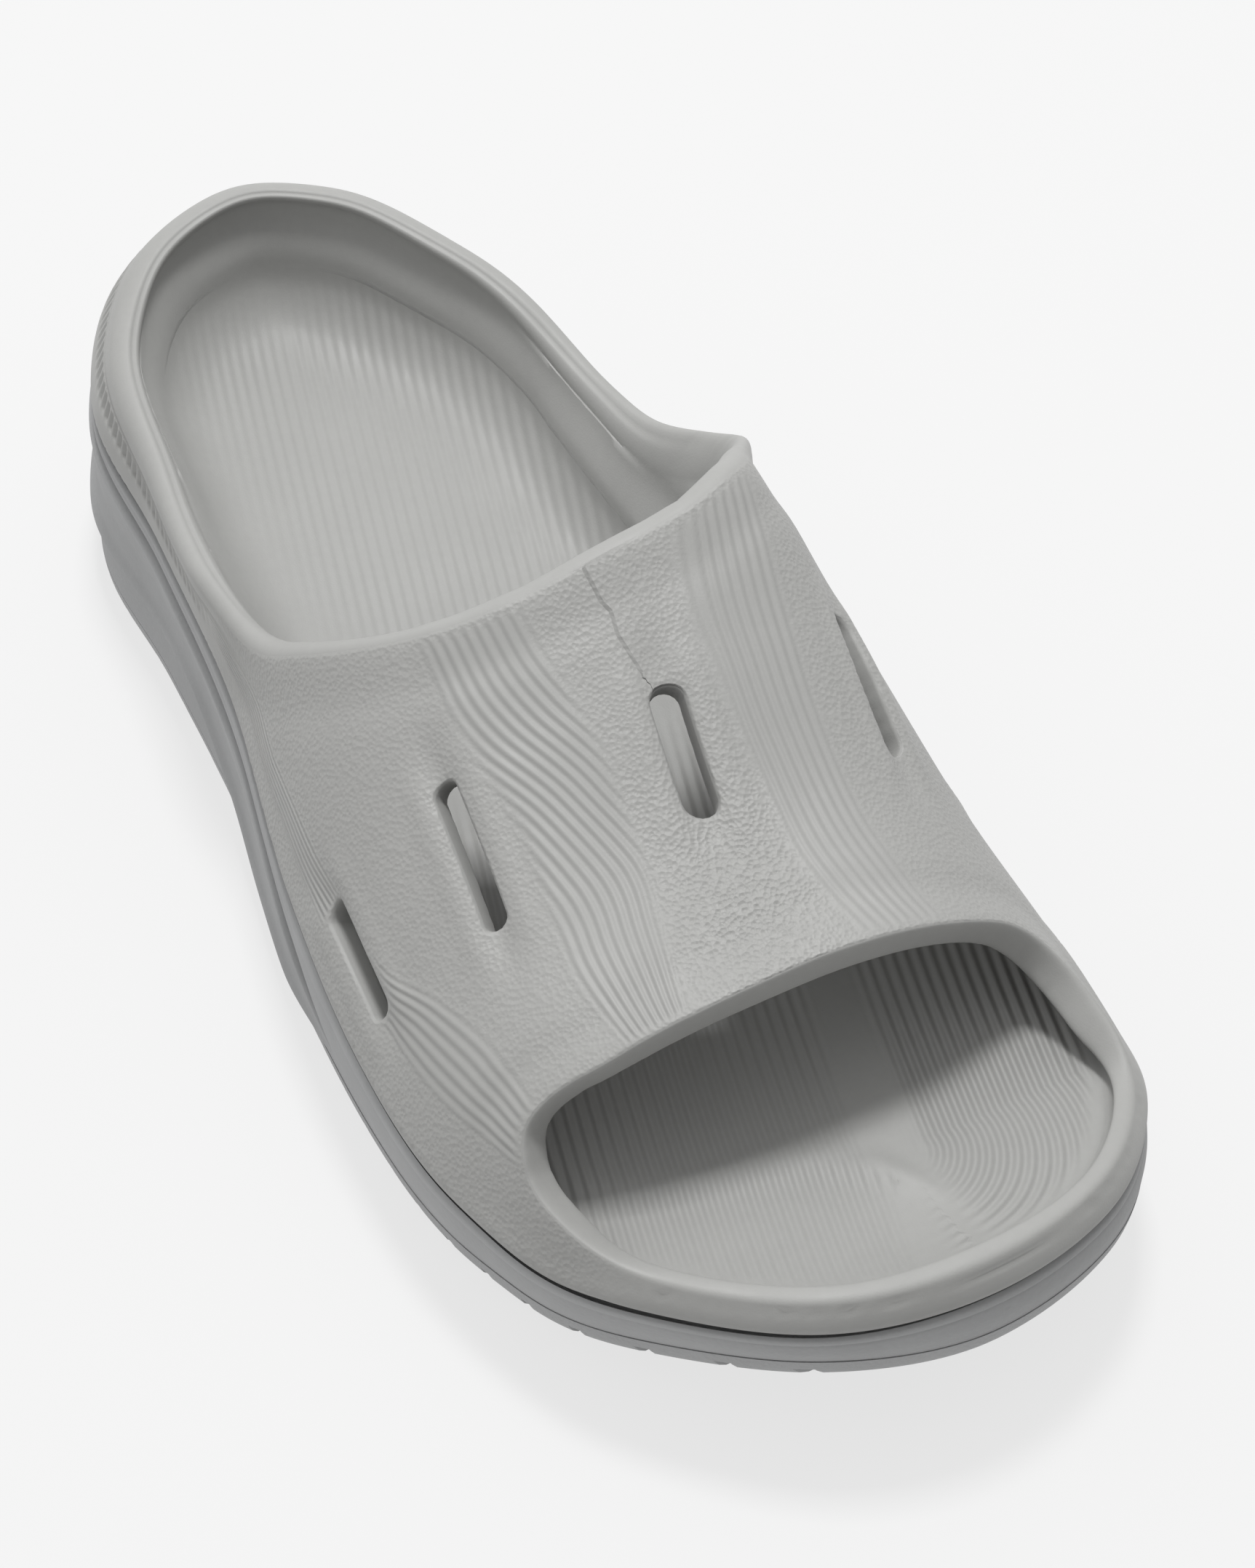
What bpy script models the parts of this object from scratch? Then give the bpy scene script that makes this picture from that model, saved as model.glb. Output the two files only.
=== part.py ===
# Moulded foam slide sandal, right foot: strap shell, midsole and tread. Toe at -Y, inner side at +X.
import math

import bmesh
import bpy
import numpy as np
from mathutils import Matrix, Vector
from mathutils.geometry import delaunay_2d_cdt

# Sizes in metres.
LENGTH = 0.295
BALL_WIDTH = 0.124
HEEL_HEIGHT = 0.045
INSTEP_HEIGHT = 0.084
LEDGE = 0.0040
WALL = 0.0060
FOOTBED = 0.0085
SEAT_LEDGE = 0.0016
JOINT_GAP = 0.0004
TREAD_BASE = 0.0026
LUG = 0.0020

GROOVE_WIDTH = 0.0022
# Grooves across the tread, by share of the length.
GROOVES = (
    0.035, 0.085, 0.135, 0.185, 0.235, 0.285, 0.335,
    0.555, 0.590, 0.625, 0.660, 0.695, 0.730, 0.765, 0.800, 0.835, 0.870, 0.905, 0.940, 0.970,
)

# Counts that set how fine the faceted solids are.
AROUND_STEPS = 84
DISC_RINGS = 5
BEAD_STEPS = 4
GRID = 0.0100

# The unrolled plan: an ellipse that stands for the seam, around a straight crown line.
PLAN_HALF_WIDTH = 0.085
PLAN_HALF_LENGTH = 0.165
CROWN_MIDDLE = 0.530
CROWN_HALF = 0.370

# Round the shell by angle from the back of the heel, the outer side negative.
# along is of LENGTH, across of BALL_WIDTH, the heights of HEEL_HEIGHT, square is the arch power.
AROUND = (
    # angle, along, across, seam, rim_in, rim_up, square, floor
    (-168, 0.976, -0.161, 0.733, 0.060, 0.120, 1.85, 0.060),
    (-156, 0.902, -0.363, 0.644, 0.060, 0.120, 1.85, 0.055),
    (-135, 0.795, -0.484, 0.600, 0.050, 0.140, 2.16, 0.040),
    (-113, 0.674, -0.508, 0.644, 0.000, 0.200, 2.02, 0.020),
    (-95, 0.561, -0.484, 0.733, -0.010, 0.280, 2.10, 0.020),
    (-71, 0.408, -0.411, 0.822, -0.020, 0.360, 2.40, 0.050),
    (-42, 0.255, -0.379, 0.889, -0.050, 0.270, 2.00, 0.080),
    (-24, 0.122, -0.357, 0.944, 0.040, 0.345, 2.00, 0.110),
    (-12, 0.040, -0.238, 0.984, 0.160, 0.410, 2.00, 0.120),
    (0, 0.000, -0.012, 1.000, 0.260, 0.440, 2.00, 0.120),
    (12, 0.043, 0.190, 1.000, 0.240, 0.440, 2.10, 0.120),
    (28, 0.157, 0.320, 0.962, 0.120, 0.410, 2.20, 0.110),
    (53, 0.308, 0.347, 0.911, -0.030, 0.295, 2.40, 0.080),
    (67, 0.387, 0.357, 0.886, -0.050, 0.310, 2.90, 0.065),
    (80, 0.462, 0.371, 0.856, -0.190, 0.330, 2.50, 0.050),
    (90, 0.529, 0.398, 0.798, -0.080, 0.310, 3.20, 0.032),
    (100, 0.596, 0.431, 0.733, -0.010, 0.280, 3.20, 0.020),
    (121, 0.719, 0.488, 0.644, 0.000, 0.200, 2.25, 0.020),
    (141, 0.818, 0.507, 0.607, 0.050, 0.140, 1.72, 0.040),
    (157, 0.913, 0.458, 0.633, 0.060, 0.120, 1.85, 0.055),
    (169, 0.976, 0.302, 0.733, 0.060, 0.120, 1.85, 0.060),
    (180, 1.000, 0.081, 0.789, 0.060, 0.120, 1.85, 0.060),
)
# The crown line: along of LENGTH, across of BALL_WIDTH, arch top of INSTEP_HEIGHT, footbed of HEEL_HEIGHT.
CROWN = (
    # along, across, arch, footbed
    (0.160, 0.000, 1.300, 0.850),
    (0.350, 0.120, 1.220, 0.800),
    (0.440, 0.175, 1.190, 0.745),
    (0.525, 0.195, 1.125, 0.690),
    (0.620, 0.135, 0.960, 0.610),
    (0.720, 0.090, 0.810, 0.555),
    (0.820, 0.058, 0.767, 0.600),
    (0.900, 0.062, 0.730, 0.690),
)
# The rim angles follow the top of the rim wall, the edge tables cross the strap.
# cross runs from 1 at the inner seam over 0 at the crown line to -1 at the outer seam.
COLLAR_RIM = (-58, -42, -24, -12, 0, 12, 24, 38, 54)
COLLAR_EDGE = (
    # cross, angle
    (-0.785, 76.8),
    (-0.700, 82.0),
    (-0.600, 87.0),
    (-0.480, 91.0),
    (-0.340, 93.1),
    (-0.160, 93.2),
    (0.000, 92.3),
    (0.080, 91.2),
    (0.150, 90.0),
    (0.215, 88.5),
    (0.300, 86.0),
    (0.380, 82.8),
    (0.446, 79.8),
    (0.500, 77.8),
    (0.554, 75.9),
    (0.625, 73.2),
    (0.690, 69.8),
    (0.755, 64.5),
)
TOE_RIM = (-158, -169, 180, 169, 158)
TOE_EDGE = (
    # cross, angle
    (-0.860, 148.0),
    (-0.800, 139.6),
    (-0.730, 136.4),
    (-0.640, 136.0),
    (-0.540, 137.0),
    (-0.350, 138.2),
    (-0.120, 139.2),
    (0.000, 139.5),
    (0.280, 139.6),
    (0.460, 139.3),
    (0.580, 139.4),
    (0.680, 140.8),
    (0.760, 143.5),
    (0.830, 149.0),
)
# The five vent slots: rear end and front end as angle round and share up, then the width in metres.
SLOTS = (
    # angle, up, angle, up, width
    (-101, 0.130, -114, 0.128, 0.0055),
    (-102, 0.450, -117, 0.433, 0.0048),
    (-105, 0.880, -118, 0.880, 0.0062),
    (102, 0.600, 117, 0.560, 0.0058),
    (100, 0.200, 117, 0.167, 0.0055),
)
# Underside by share of the length: rise above the floor as a share of HEEL_HEIGHT.
ROCKER = (
    # along, rise
    (-0.020, 0.230),
    (0.020, 0.130),
    (0.060, 0.040),
    (0.100, 0.000),
    (0.340, 0.000),
    (0.410, 0.040),
    (0.490, 0.040),
    (0.550, 0.000),
    (0.690, 0.000),
    (0.760, 0.045),
    (0.830, 0.140),
    (0.900, 0.270),
    (0.960, 0.390),
    (1.010, 0.490),
)
# How far the bottom edge stands out from the seam, and the two swept steps of the side.
# out is of HEEL_HEIGHT, the steps are shares of the side's height down from the seam.
SIDE = (
    # angle, out, upper, lower
    (-168, -0.030, 0.84, 0.93),
    (-156, -0.070, 0.84, 0.93),
    (-135, -0.090, 0.84, 0.93),
    (-113, -0.070, 0.84, 0.93),
    (-100, -0.045, 0.64, 0.93),
    (-90, -0.020, 0.38, 0.93),
    (-80, -0.005, 0.29, 0.92),
    (-71, 0.000, 0.25, 0.80),
    (-53, 0.005, 0.18, 0.55),
    (-38, 0.015, 0.14, 0.62),
    (-24, 0.030, 0.10, 0.70),
    (0, 0.040, 0.10, 0.62),
    (24, 0.010, 0.10, 0.70),
    (38, 0.000, 0.14, 0.63),
    (53, -0.020, 0.18, 0.55),
    (71, -0.030, 0.25, 0.80),
    (80, -0.040, 0.29, 0.92),
    (91, -0.045, 0.38, 0.93),
    (100, -0.045, 0.64, 0.93),
    (108, -0.045, 0.84, 0.93),
    (121, -0.050, 0.84, 0.93),
    (141, -0.050, 0.84, 0.93),
    (157, 0.010, 0.84, 0.93),
    (169, 0.030, 0.84, 0.93),
    (180, 0.030, 0.84, 0.93),
)


def through(rows, column, at, period=0.0):
    """Smooth curve through one column of a table."""
    x = np.array([row[0] for row in rows], float)
    y = np.array([row[column] for row in rows], float)
    at = np.asarray(at, float)
    if period:
        x = np.concatenate([x[-3:] - period, x, x[:3] + period])
        y = np.concatenate([y[-3:], y, y[:3]])
        at = (at - x[3]) % period + x[3]
    slope = np.gradient(y, x)
    rise = np.diff(y) / np.diff(x)
    slope[1:-1] = np.where(rise[1:] * rise[:-1] == 0, 0.0, slope[1:-1])
    at = np.clip(at, x[0], x[-1])
    k = np.clip(np.searchsorted(x, at, "right") - 1, 0, len(x) - 2)
    step = x[k + 1] - x[k]
    f = (at - x[k]) / step
    a = (1 + 2 * f) * (1 - f) ** 2 * y[k] + f * (1 - f) ** 2 * step * slope[k]
    return a + f * f * (3 - 2 * f) * y[k + 1] + f * f * (f - 1) * step * slope[k + 1]


def ease(low, high, at):
    f = np.clip((np.asarray(at, float) - low) / (high - low), 0.0, 1.0)
    return f * f * (3 - 2 * f)


def around(column, angle):
    return through(AROUND, column, angle, 360.0)


def arch_share(angle):
    """1 where the strap arches over the foot, 0 where the rim is a low wall."""
    turned = (angle + 180) % 360 - 180
    start = np.where(turned > 0, 65, 56)
    side = np.abs(turned)
    return ease(start, start + 22, side) * (1 - ease(148, 158, side))


def seam_point(angle):
    x = around(2, angle) * BALL_WIDTH
    y = (0.5 - around(1, angle)) * LENGTH
    z = around(3, angle) * HEEL_HEIGHT
    return np.stack([x, y, z], -1)


def crown_along(angle):
    return CROWN_MIDDLE - CROWN_HALF * np.cos(np.radians(angle))


def crown_point(angle, column, size):
    t = crown_along(angle)
    x = through(CROWN, 1, t) * BALL_WIDTH
    z = through(CROWN, column, t) * size
    return np.stack([x, (0.5 - t) * LENGTH, z], -1)


def shell_point(angle, up):
    """Outer skin of the shell at an angle round and a share up from the seam to the crown."""
    angle = np.asarray(angle, float)
    up = np.asarray(up, float)
    seam = seam_point(angle)
    top = crown_point(angle, 2, INSTEP_HEIGHT)
    run = top[..., :2] - seam[..., :2]
    deep = np.linalg.norm(run, axis=-1)
    high = top[..., 2] - seam[..., 2]
    power = 2.0 / around(6, angle)
    turn = np.linspace(0.0, math.pi / 2, 41)
    inward = (deep - LEDGE)[..., None] * (1 - np.cos(turn) ** power[..., None])
    inward = inward + LEDGE * (1 - np.exp(-6 * turn))
    upward = high[..., None] * np.sin(turn) ** power[..., None]
    length = np.zeros_like(inward)
    length[..., 1:] = np.cumsum(np.hypot(np.diff(inward), np.diff(upward)), -1)
    total = length[..., -1]
    spot = up * total
    k = np.clip((length < spot[..., None]).sum(-1) - 1, 0, len(turn) - 2)[..., None]
    a = np.take_along_axis(length, k, -1)[..., 0]
    b = np.take_along_axis(length, k + 1, -1)[..., 0]
    f = np.clip((spot - a) / np.maximum(b - a, 1e-9), 0, 1)
    arch_in = _mix(inward, k, f)
    arch_up = _mix(upward, k, f)
    rim_in = around(4, angle) * HEEL_HEIGHT
    rim_up = around(5, angle) * HEEL_HEIGHT
    v = np.maximum(spot, 0) / np.hypot(rim_in, rim_up)
    wall_in = rim_in * 2 * ease(0, 2, v)
    wall_up = rim_up * v
    arch = arch_share(angle)
    inside = wall_in + (arch_in - wall_in) * arch
    height = wall_up + (arch_up - wall_up) * arch
    unit = run / deep[..., None]
    flat = seam[..., :2] + unit * inside[..., None]
    return np.concatenate([flat, (seam[..., 2] + height)[..., None]], -1)


def _mix(values, k, f):
    a = np.take_along_axis(values, k, -1)[..., 0]
    b = np.take_along_axis(values, k + 1, -1)[..., 0]
    return a + (b - a) * f


def foot_point(angle):
    """Bottom outer edge of the sole's side, at the top of the tread sheet."""
    seam = seam_point(angle)
    top = crown_point(angle, 2, INSTEP_HEIGHT)
    away = seam[..., :2] - top[..., :2]
    away = away / np.linalg.norm(away, axis=-1)[..., None]
    flat = seam[..., :2] + away * (through(SIDE, 1, angle, 360.0) * HEEL_HEIGHT)[..., None]
    return np.concatenate([flat, (rocker(flat[..., 1]) + TREAD_BASE + LUG)[..., None]], -1)


def rocker(y):
    return through(ROCKER, 1, 0.5 - y / LENGTH) * HEEL_HEIGHT


def plan(angle, up):
    """Place on the unrolled plan, metres."""
    turn = np.radians(angle)
    rest = 1.0 - np.asarray(up, float)
    reach = PLAN_HALF_LENGTH * rest + CROWN_HALF * LENGTH * (1 - rest)
    return np.stack([PLAN_HALF_WIDTH * rest * np.sin(turn), reach * np.cos(turn)], -1)


def unplan(points):
    """Angle round and share up of places on the unrolled plan."""
    x = np.where(np.abs(points[:, 0]) < 1e-5, 1e-5, points[:, 0])
    y = points[:, 1]
    low = np.full(len(points), 1e-6)
    high = np.full(len(points), 1.1)
    for _ in range(40):
        rest = (low + high) / 2
        reach = PLAN_HALF_LENGTH * rest + CROWN_HALF * LENGTH * (1 - rest)
        outside = (x / (PLAN_HALF_WIDTH * rest)) ** 2 + (y / reach) ** 2 > 1
        low = np.where(outside, rest, low)
        high = np.where(outside, high, rest)
    rest = (low + high) / 2
    reach = PLAN_HALF_LENGTH * rest + CROWN_HALF * LENGTH * (1 - rest)
    angle = np.degrees(np.arctan2(x / (PLAN_HALF_WIDTH * rest), y / reach))
    return angle, np.clip(1 - rest, 0, 1)


def rim_share(angle):
    """Share up from the seam at which the rim wall ends."""
    angle = np.asarray(angle, float)
    up = np.linspace(0, 1, 81)
    points = shell_point(np.repeat(angle, 81), np.tile(up, len(angle))).reshape(-1, 81, 3)
    along = np.cumsum(np.linalg.norm(np.diff(points, axis=1), axis=-1), axis=1)
    wall = np.hypot(around(4, angle), around(5, angle)) * HEEL_HEIGHT
    return np.array([up[1:][np.argmax(row > w)] if (row > w).any() else 0.3 for row, w in zip(along, wall)])


def even_loop(loop, step):
    """Closed loop cut into near equal steps."""
    ring = np.concatenate([loop, loop[:1]])
    along = np.concatenate([[0], np.cumsum(np.linalg.norm(np.diff(ring, axis=0), axis=1))])
    spots = np.linspace(0, along[-1], int(round(along[-1] / step)), endpoint=False)
    return np.stack([np.interp(spots, along, ring[:, k]) for k in (0, 1)], -1)


def closed_curve(points, step):
    """Smooth closed curve through the points, in near equal steps."""
    ring = np.concatenate([points, points[:1]])
    along = np.concatenate([[0], np.cumsum(np.linalg.norm(np.diff(ring, axis=0), axis=1))])
    rows = np.column_stack([along[:-1], points])
    spots = np.linspace(0, along[-1], 600, endpoint=False)
    return even_loop(np.stack([through(rows, k, spots, along[-1]) for k in (1, 2)], -1), step)


def opening_loop(rim, edge, step):
    """Edge of the collar or of the toe opening on the unrolled plan."""
    rim = np.array(rim, float)
    cross = np.linspace(edge[-1][0], edge[0][0], 27)
    cross[np.argmin(np.abs(cross))] = 0.0
    angle = np.where(cross < 0, -1, 1) * through(edge, 1, cross)
    points = np.concatenate([plan(rim, rim_share(rim)), plan(angle, 1 - np.abs(cross))])
    return closed_curve(points, step)


def slot_loop(row, step):
    """Long rounded slot between its two ends."""
    start, end = plan(row[0], row[1]), plan(row[2], row[3])
    half = row[4] / 2
    run = (end - start) / np.linalg.norm(end - start)
    side = np.array([-run[1], run[0]])
    turn = np.linspace(-math.pi / 2, math.pi / 2, 7)
    cap = [(math.cos(t), math.sin(t)) for t in turn]
    front = [end - run * half + half * (c * run + s * side) for c, s in cap]
    back = [start + run * half - half * (c * run + s * side) for c, s in cap]
    return even_loop(np.array(front + back), step)


def within(points, loop):
    """True for the points inside a closed loop."""
    hit = np.zeros(len(points), bool)
    after = np.roll(loop, -1, axis=0)
    for (x0, y0), (x1, y1) in zip(loop, after):
        cross = (y0 > points[:, 1]) != (y1 > points[:, 1])
        at = x0 + (points[:, 1] - y0) * (x1 - x0) / (y1 - y0 if y1 != y0 else 1e-12)
        hit ^= cross & (points[:, 0] < at)
    return hit


def plan_mesh(ring, loops, grid):
    """Triangles of the unrolled plan with the openings left out."""
    holes = np.concatenate(loops)
    rows = np.arange(-PLAN_HALF_LENGTH, PLAN_HALF_LENGTH, grid * 0.87)
    spots = []
    for k, y in enumerate(rows):
        x = np.arange(-PLAN_HALF_WIDTH, PLAN_HALF_WIDTH, grid) + (k % 2) * grid / 2
        spots.append(np.stack([x, np.full(len(x), y)], -1))
    spots = np.concatenate(spots)
    spots = spots[within(spots, ring)]
    edge = np.concatenate([ring, holes])
    near = np.linalg.norm(spots[:, None] - edge[None], axis=-1).min(1)
    keep = near > grid * 0.55
    for loop in loops:
        keep &= ~within(spots, loop)
    points = np.concatenate([ring, holes, spots[keep]])
    edges = []
    start = 0
    for loop in [ring] + loops:
        n = len(loop)
        edges += [(start + i, start + (i + 1) % n) for i in range(n)]
        start += n
    result = delaunay_2d_cdt([Vector(p) for p in points], edges, [], 0, 1e-7)
    back = [group[0] for group in result[3]]
    faces = np.array([[back[i] for i in face] for face in result[2]])
    middle = points[faces].mean(1)
    keep = within(middle, ring)
    for loop in loops:
        keep &= ~within(middle, loop)
    faces = faces[keep]
    a, b, c = (points[faces[:, i]] for i in range(3))
    turn = (b - a)[:, 0] * (c - a)[:, 1] - (b - a)[:, 1] * (c - a)[:, 0]
    faces[turn < 0] = faces[turn < 0][:, ::-1]
    return points, faces[np.abs(turn) > 1e-12]


def vertex_normals(points, faces):
    a, b, c = (points[faces[:, i]] for i in range(3))
    face = np.cross(b - a, c - a)
    total = np.zeros_like(points)
    for i in range(3):
        np.add.at(total, faces[:, i], face)
    return total / np.linalg.norm(total, axis=1)[:, None]


def inward_unit(angle):
    run = crown_point(angle, 2, INSTEP_HEIGHT)[..., :2] - seam_point(angle)[..., :2]
    return run / np.linalg.norm(run, axis=-1)[..., None]


def floor_edge(angle):
    """Where the footbed meets the inside of the wall."""
    angle = np.asarray(angle, float)
    seam = seam_point(angle)
    inset = WALL + np.maximum(around(4, angle), 0) * HEEL_HEIGHT * (1 - arch_share(angle))
    flat = seam[..., :2] + inward_unit(angle) * inset[..., None]
    return np.concatenate([flat, (seam[..., 2] + around(7, angle) * HEEL_HEIGHT)[..., None]], -1)


def inner_wall(angle, share):
    """Inside of the low rim wall, from the footbed (share 0) to the rim top (share 1)."""
    base = floor_edge(angle)
    inset = WALL + around(4, angle) * HEEL_HEIGHT
    flat = seam_point(angle)[..., :2] + inward_unit(angle) * inset[..., None]
    high = seam_point(angle)[..., 2] + around(5, angle) * HEEL_HEIGHT
    top = np.concatenate([flat, high[..., None]], -1)
    return base + (top - base) * share[..., None]


def floor_point(angle, share):
    """Top of the footbed from its edge (share 0) to the crown line (share 1)."""
    edge = floor_edge(angle)
    middle = crown_point(angle, 3, HEEL_HEIGHT)
    point = edge + (middle - edge) * np.asarray(share)[..., None]
    point[..., 2] = middle[..., 2] + (edge - middle)[..., 2] * (1 - share) ** 2.6
    return point


def disc_faces(rings, middle, flip):
    """Faces from ring to ring and down to the shared middle line."""
    faces = []
    n = len(rings[0])
    for a, b in zip(rings, rings[1:] + [middle]):
        for i in range(n):
            k = (i + 1) % n
            face = [a[i], a[k], b[k], b[i]]
            face = [v for j, v in enumerate(face) if v != face[j - 1]]
            if len(face) > 2:
                faces.append(face[::-1] if flip else face)
    return faces


def middle_line(points, height, angles):
    """One point per pair of mirrored angles on the crown line, added to the list."""
    n = len(angles)
    index = [0] * n
    for i in range(n // 2 + 1):
        spot = np.array([angles[i]])
        place = crown_point(spot, 3, HEEL_HEIGHT)[0]
        place[2] = height(spot)[0]
        points.append(place)
        index[i] = len(points) - 1
        index[(n - i) % n] = index[i]
    return index


def ring_angles():
    return (-np.arange(AROUND_STEPS) * 360.0 / AROUND_STEPS) % 360


def upper_mesh():
    angles_ring = ring_angles()
    ring = plan(angles_ring, np.zeros(AROUND_STEPS))
    loops = [opening_loop(COLLAR_RIM, COLLAR_EDGE, GRID * 0.8)]
    loops.append(opening_loop(TOE_RIM, TOE_EDGE, GRID * 0.8))
    loops += [slot_loop(row, GRID * 0.3) for row in SLOTS]
    flat, faces = plan_mesh(ring, loops, GRID)
    angle, up = unplan(flat)
    n = AROUND_STEPS
    angle[:n] = angles_ring
    up[:n] = 0.0
    outer = shell_point(angle, up)
    normal = vertex_normals(outer, faces)
    inner = outer - normal * WALL
    base = floor_edge(angle)
    arch = arch_share(angle)
    low = np.clip(1 - up / 0.16, 0, 1)
    raised = base.copy()
    raised[:, 2] += 0.8 * (outer - seam_point(angle))[:, 2]
    inner += (raised - inner) * (low ** 1.5)[:, None]
    inner[:, 2] = np.maximum(inner[:, 2], base[:, 2])
    wall = inner_wall(angle, np.clip(up / rim_share(angle), 0, 1))
    inner = wall + (inner - wall) * arch[:, None]
    inner[:n] = base[:n]
    count = len(flat)
    points = [p for p in outer] + [p for p in inner]
    all_faces = [list(f) for f in faces] + [[i + count for i in f[::-1]] for f in faces]
    start = n
    for number, loop in enumerate(loops):
        m = len(loop)
        ids = list(range(start, start + m))
        start += m
        all_faces += bead(points, outer, inner, normal, faces, ids, count, number < 2)
    top = [[i + count for i in range(n)]]
    for k in range(1, DISC_RINGS):
        top.append(add_ring(points, floor_point(angles_ring, np.full(n, (k / DISC_RINGS) ** 1.3))))
    low_ring = seam_point(angles_ring)
    low_ring[:, :2] += inward_unit(angles_ring) * SEAT_LEDGE
    bottom = [list(range(n)), add_ring(points, low_ring)]
    for k in range(0, DISC_RINGS):
        under = floor_point(angles_ring, np.full(n, (k / DISC_RINGS) ** 1.3))
        under[:, 2] -= FOOTBED
        bottom.append(add_ring(points, under))
    floor_middle = middle_line(points, lambda a: crown_point(a, 3, HEEL_HEIGHT)[:, 2], angles_ring)
    under_middle = middle_line(points, lambda a: crown_point(a, 3, HEEL_HEIGHT)[:, 2] - FOOTBED, angles_ring)
    all_faces += disc_faces(top, floor_middle, False)
    all_faces += disc_faces(bottom, under_middle, True)
    return np.array(points), all_faces


def add_ring(points, ring):
    start = len(points)
    points.extend(ring)
    return list(range(start, start + len(ring)))


def bead(points, outer, inner, normal, faces, ids, count, full):
    """Rounded lip between the outer and inner skin along one opening."""
    m = len(ids)
    into = {}
    for face in faces:
        for i, v in enumerate(face):
            if v in ids:
                into.setdefault(v, []).append(outer[list(face)].mean(0))
    rows = [ids]
    steps = BEAD_STEPS if full else 2
    made = [[] for _ in range(steps - 1)]
    for k, v in enumerate(ids):
        tangent = outer[ids[(k + 1) % m]] - outer[ids[k - 1]]
        away = np.cross(normal[v], tangent)
        away /= np.linalg.norm(away)
        if np.dot(away, np.mean(into[v], axis=0) - outer[v]) > 0:
            away = -away
        centre = (outer[v] + inner[v]) / 2
        half = (outer[v] - inner[v]) / 2
        reach = np.linalg.norm(half) if full else 0.0006
        for j in range(1, steps):
            turn = math.pi * j / steps
            points.append(centre + half * math.cos(turn) + away * reach * math.sin(turn))
            made[j - 1].append(len(points) - 1)
    rows += made + [[v + count for v in ids]]
    made_faces = []
    for a, b in zip(rows, rows[1:]):
        for k in range(m):
            j = (k + 1) % m
            made_faces.append([a[j], a[k], b[k], b[j]])
    return made_faces


def midsole_mesh():
    angles = ring_angles()
    n = AROUND_STEPS
    points = []
    seam = seam_point(angles)
    foot = foot_point(angles)
    foot[:, 2] += JOINT_GAP
    seam[:, 2] -= JOINT_GAP
    away = -inward_unit(angles)
    upper = through(SIDE, 2, angles, 360.0)
    lower = through(SIDE, 3, angles, 360.0)
    step = 0.030
    side = np.abs((angles + 180) % 360 - 180)
    show = 1 - ease(92, 106, side)
    levels = (
        (np.zeros(n), 0.0),
        (upper * 0.5, -0.0006),
        (upper, -0.0012),
        (upper + step, 0.0004),
        ((upper + lower) / 2, 0.0002),
        (lower - step, 0.0010),
        (lower, -0.0006),
        (lower * 0.4 + 0.6, -0.0002),
        (np.ones(n), 0.0),
    )
    sides = []
    for share, out in levels:
        line = seam + (foot - seam) * share[:, None]
        line[:, :2] += away * (out * show)[:, None]
        sides.append(add_ring(points, line))
    ledge = seam.copy()
    ledge[:, :2] += inward_unit(angles) * SEAT_LEDGE
    top = [sides[0], add_ring(points, ledge)]
    for k in range(0, DISC_RINGS):
        seat = floor_point(angles, np.full(n, (k / DISC_RINGS) ** 1.3))
        seat[:, 2] -= FOOTBED + JOINT_GAP
        top.append(add_ring(points, seat))
    top_middle = middle_line(points, lambda a: crown_point(a, 3, HEEL_HEIGHT)[:, 2] - FOOTBED - JOINT_GAP, angles)
    bottom = [sides[-1]]
    rise = TREAD_BASE + LUG + JOINT_GAP
    for k in range(1, 4):
        bottom.append(add_ring(points, under_ring(angles, k / 4, rise)))
    bottom_middle = middle_line(points, lambda a: rocker(crown_point(a, 3, HEEL_HEIGHT)[:, 1]) + rise, angles)
    faces = disc_faces(top, top_middle, False) + disc_faces(bottom, bottom_middle, True)
    for a, b in zip(sides, sides[1:]):
        for k in range(n):
            j = (k + 1) % n
            faces.append([a[j], a[k], b[k], b[j]])
    return np.array(points), faces


def under_ring(angles, share, rise):
    foot = foot_point(angles)
    middle = crown_point(angles, 3, HEEL_HEIGHT)
    ring = foot + (middle - foot) * share
    ring[:, 2] = rocker(ring[:, 1]) + rise
    return ring


def outsole_mesh():
    angles = ring_angles()
    n = AROUND_STEPS
    points = []
    top_rise = TREAD_BASE + LUG
    edge = foot_point(angles)
    top = [add_ring(points, edge)]
    for k in range(1, 4):
        top.append(add_ring(points, under_ring(angles, k / 4, top_rise)))
    top_middle = middle_line(points, lambda a: rocker(crown_point(a, 3, HEEL_HEIGHT)[:, 1]) + top_rise, angles)
    low = edge.copy()
    low[:, :2] += inward_unit(angles) * 0.0015
    low[:, 2] = rocker(low[:, 1])
    bottom = [add_ring(points, low)]
    for k in range(1, 4):
        bottom.append(add_ring(points, under_ring(angles, k / 4, 0.0)))
    bottom_middle = middle_line(points, lambda a: rocker(crown_point(a, 3, HEEL_HEIGHT)[:, 1]), angles)
    faces = disc_faces(top, top_middle, False) + disc_faces(bottom, bottom_middle, True)
    for k in range(n):
        j = (k + 1) % n
        faces.append([top[0][j], top[0][k], bottom[0][k], bottom[0][j]])
    return np.array(points), faces


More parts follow.
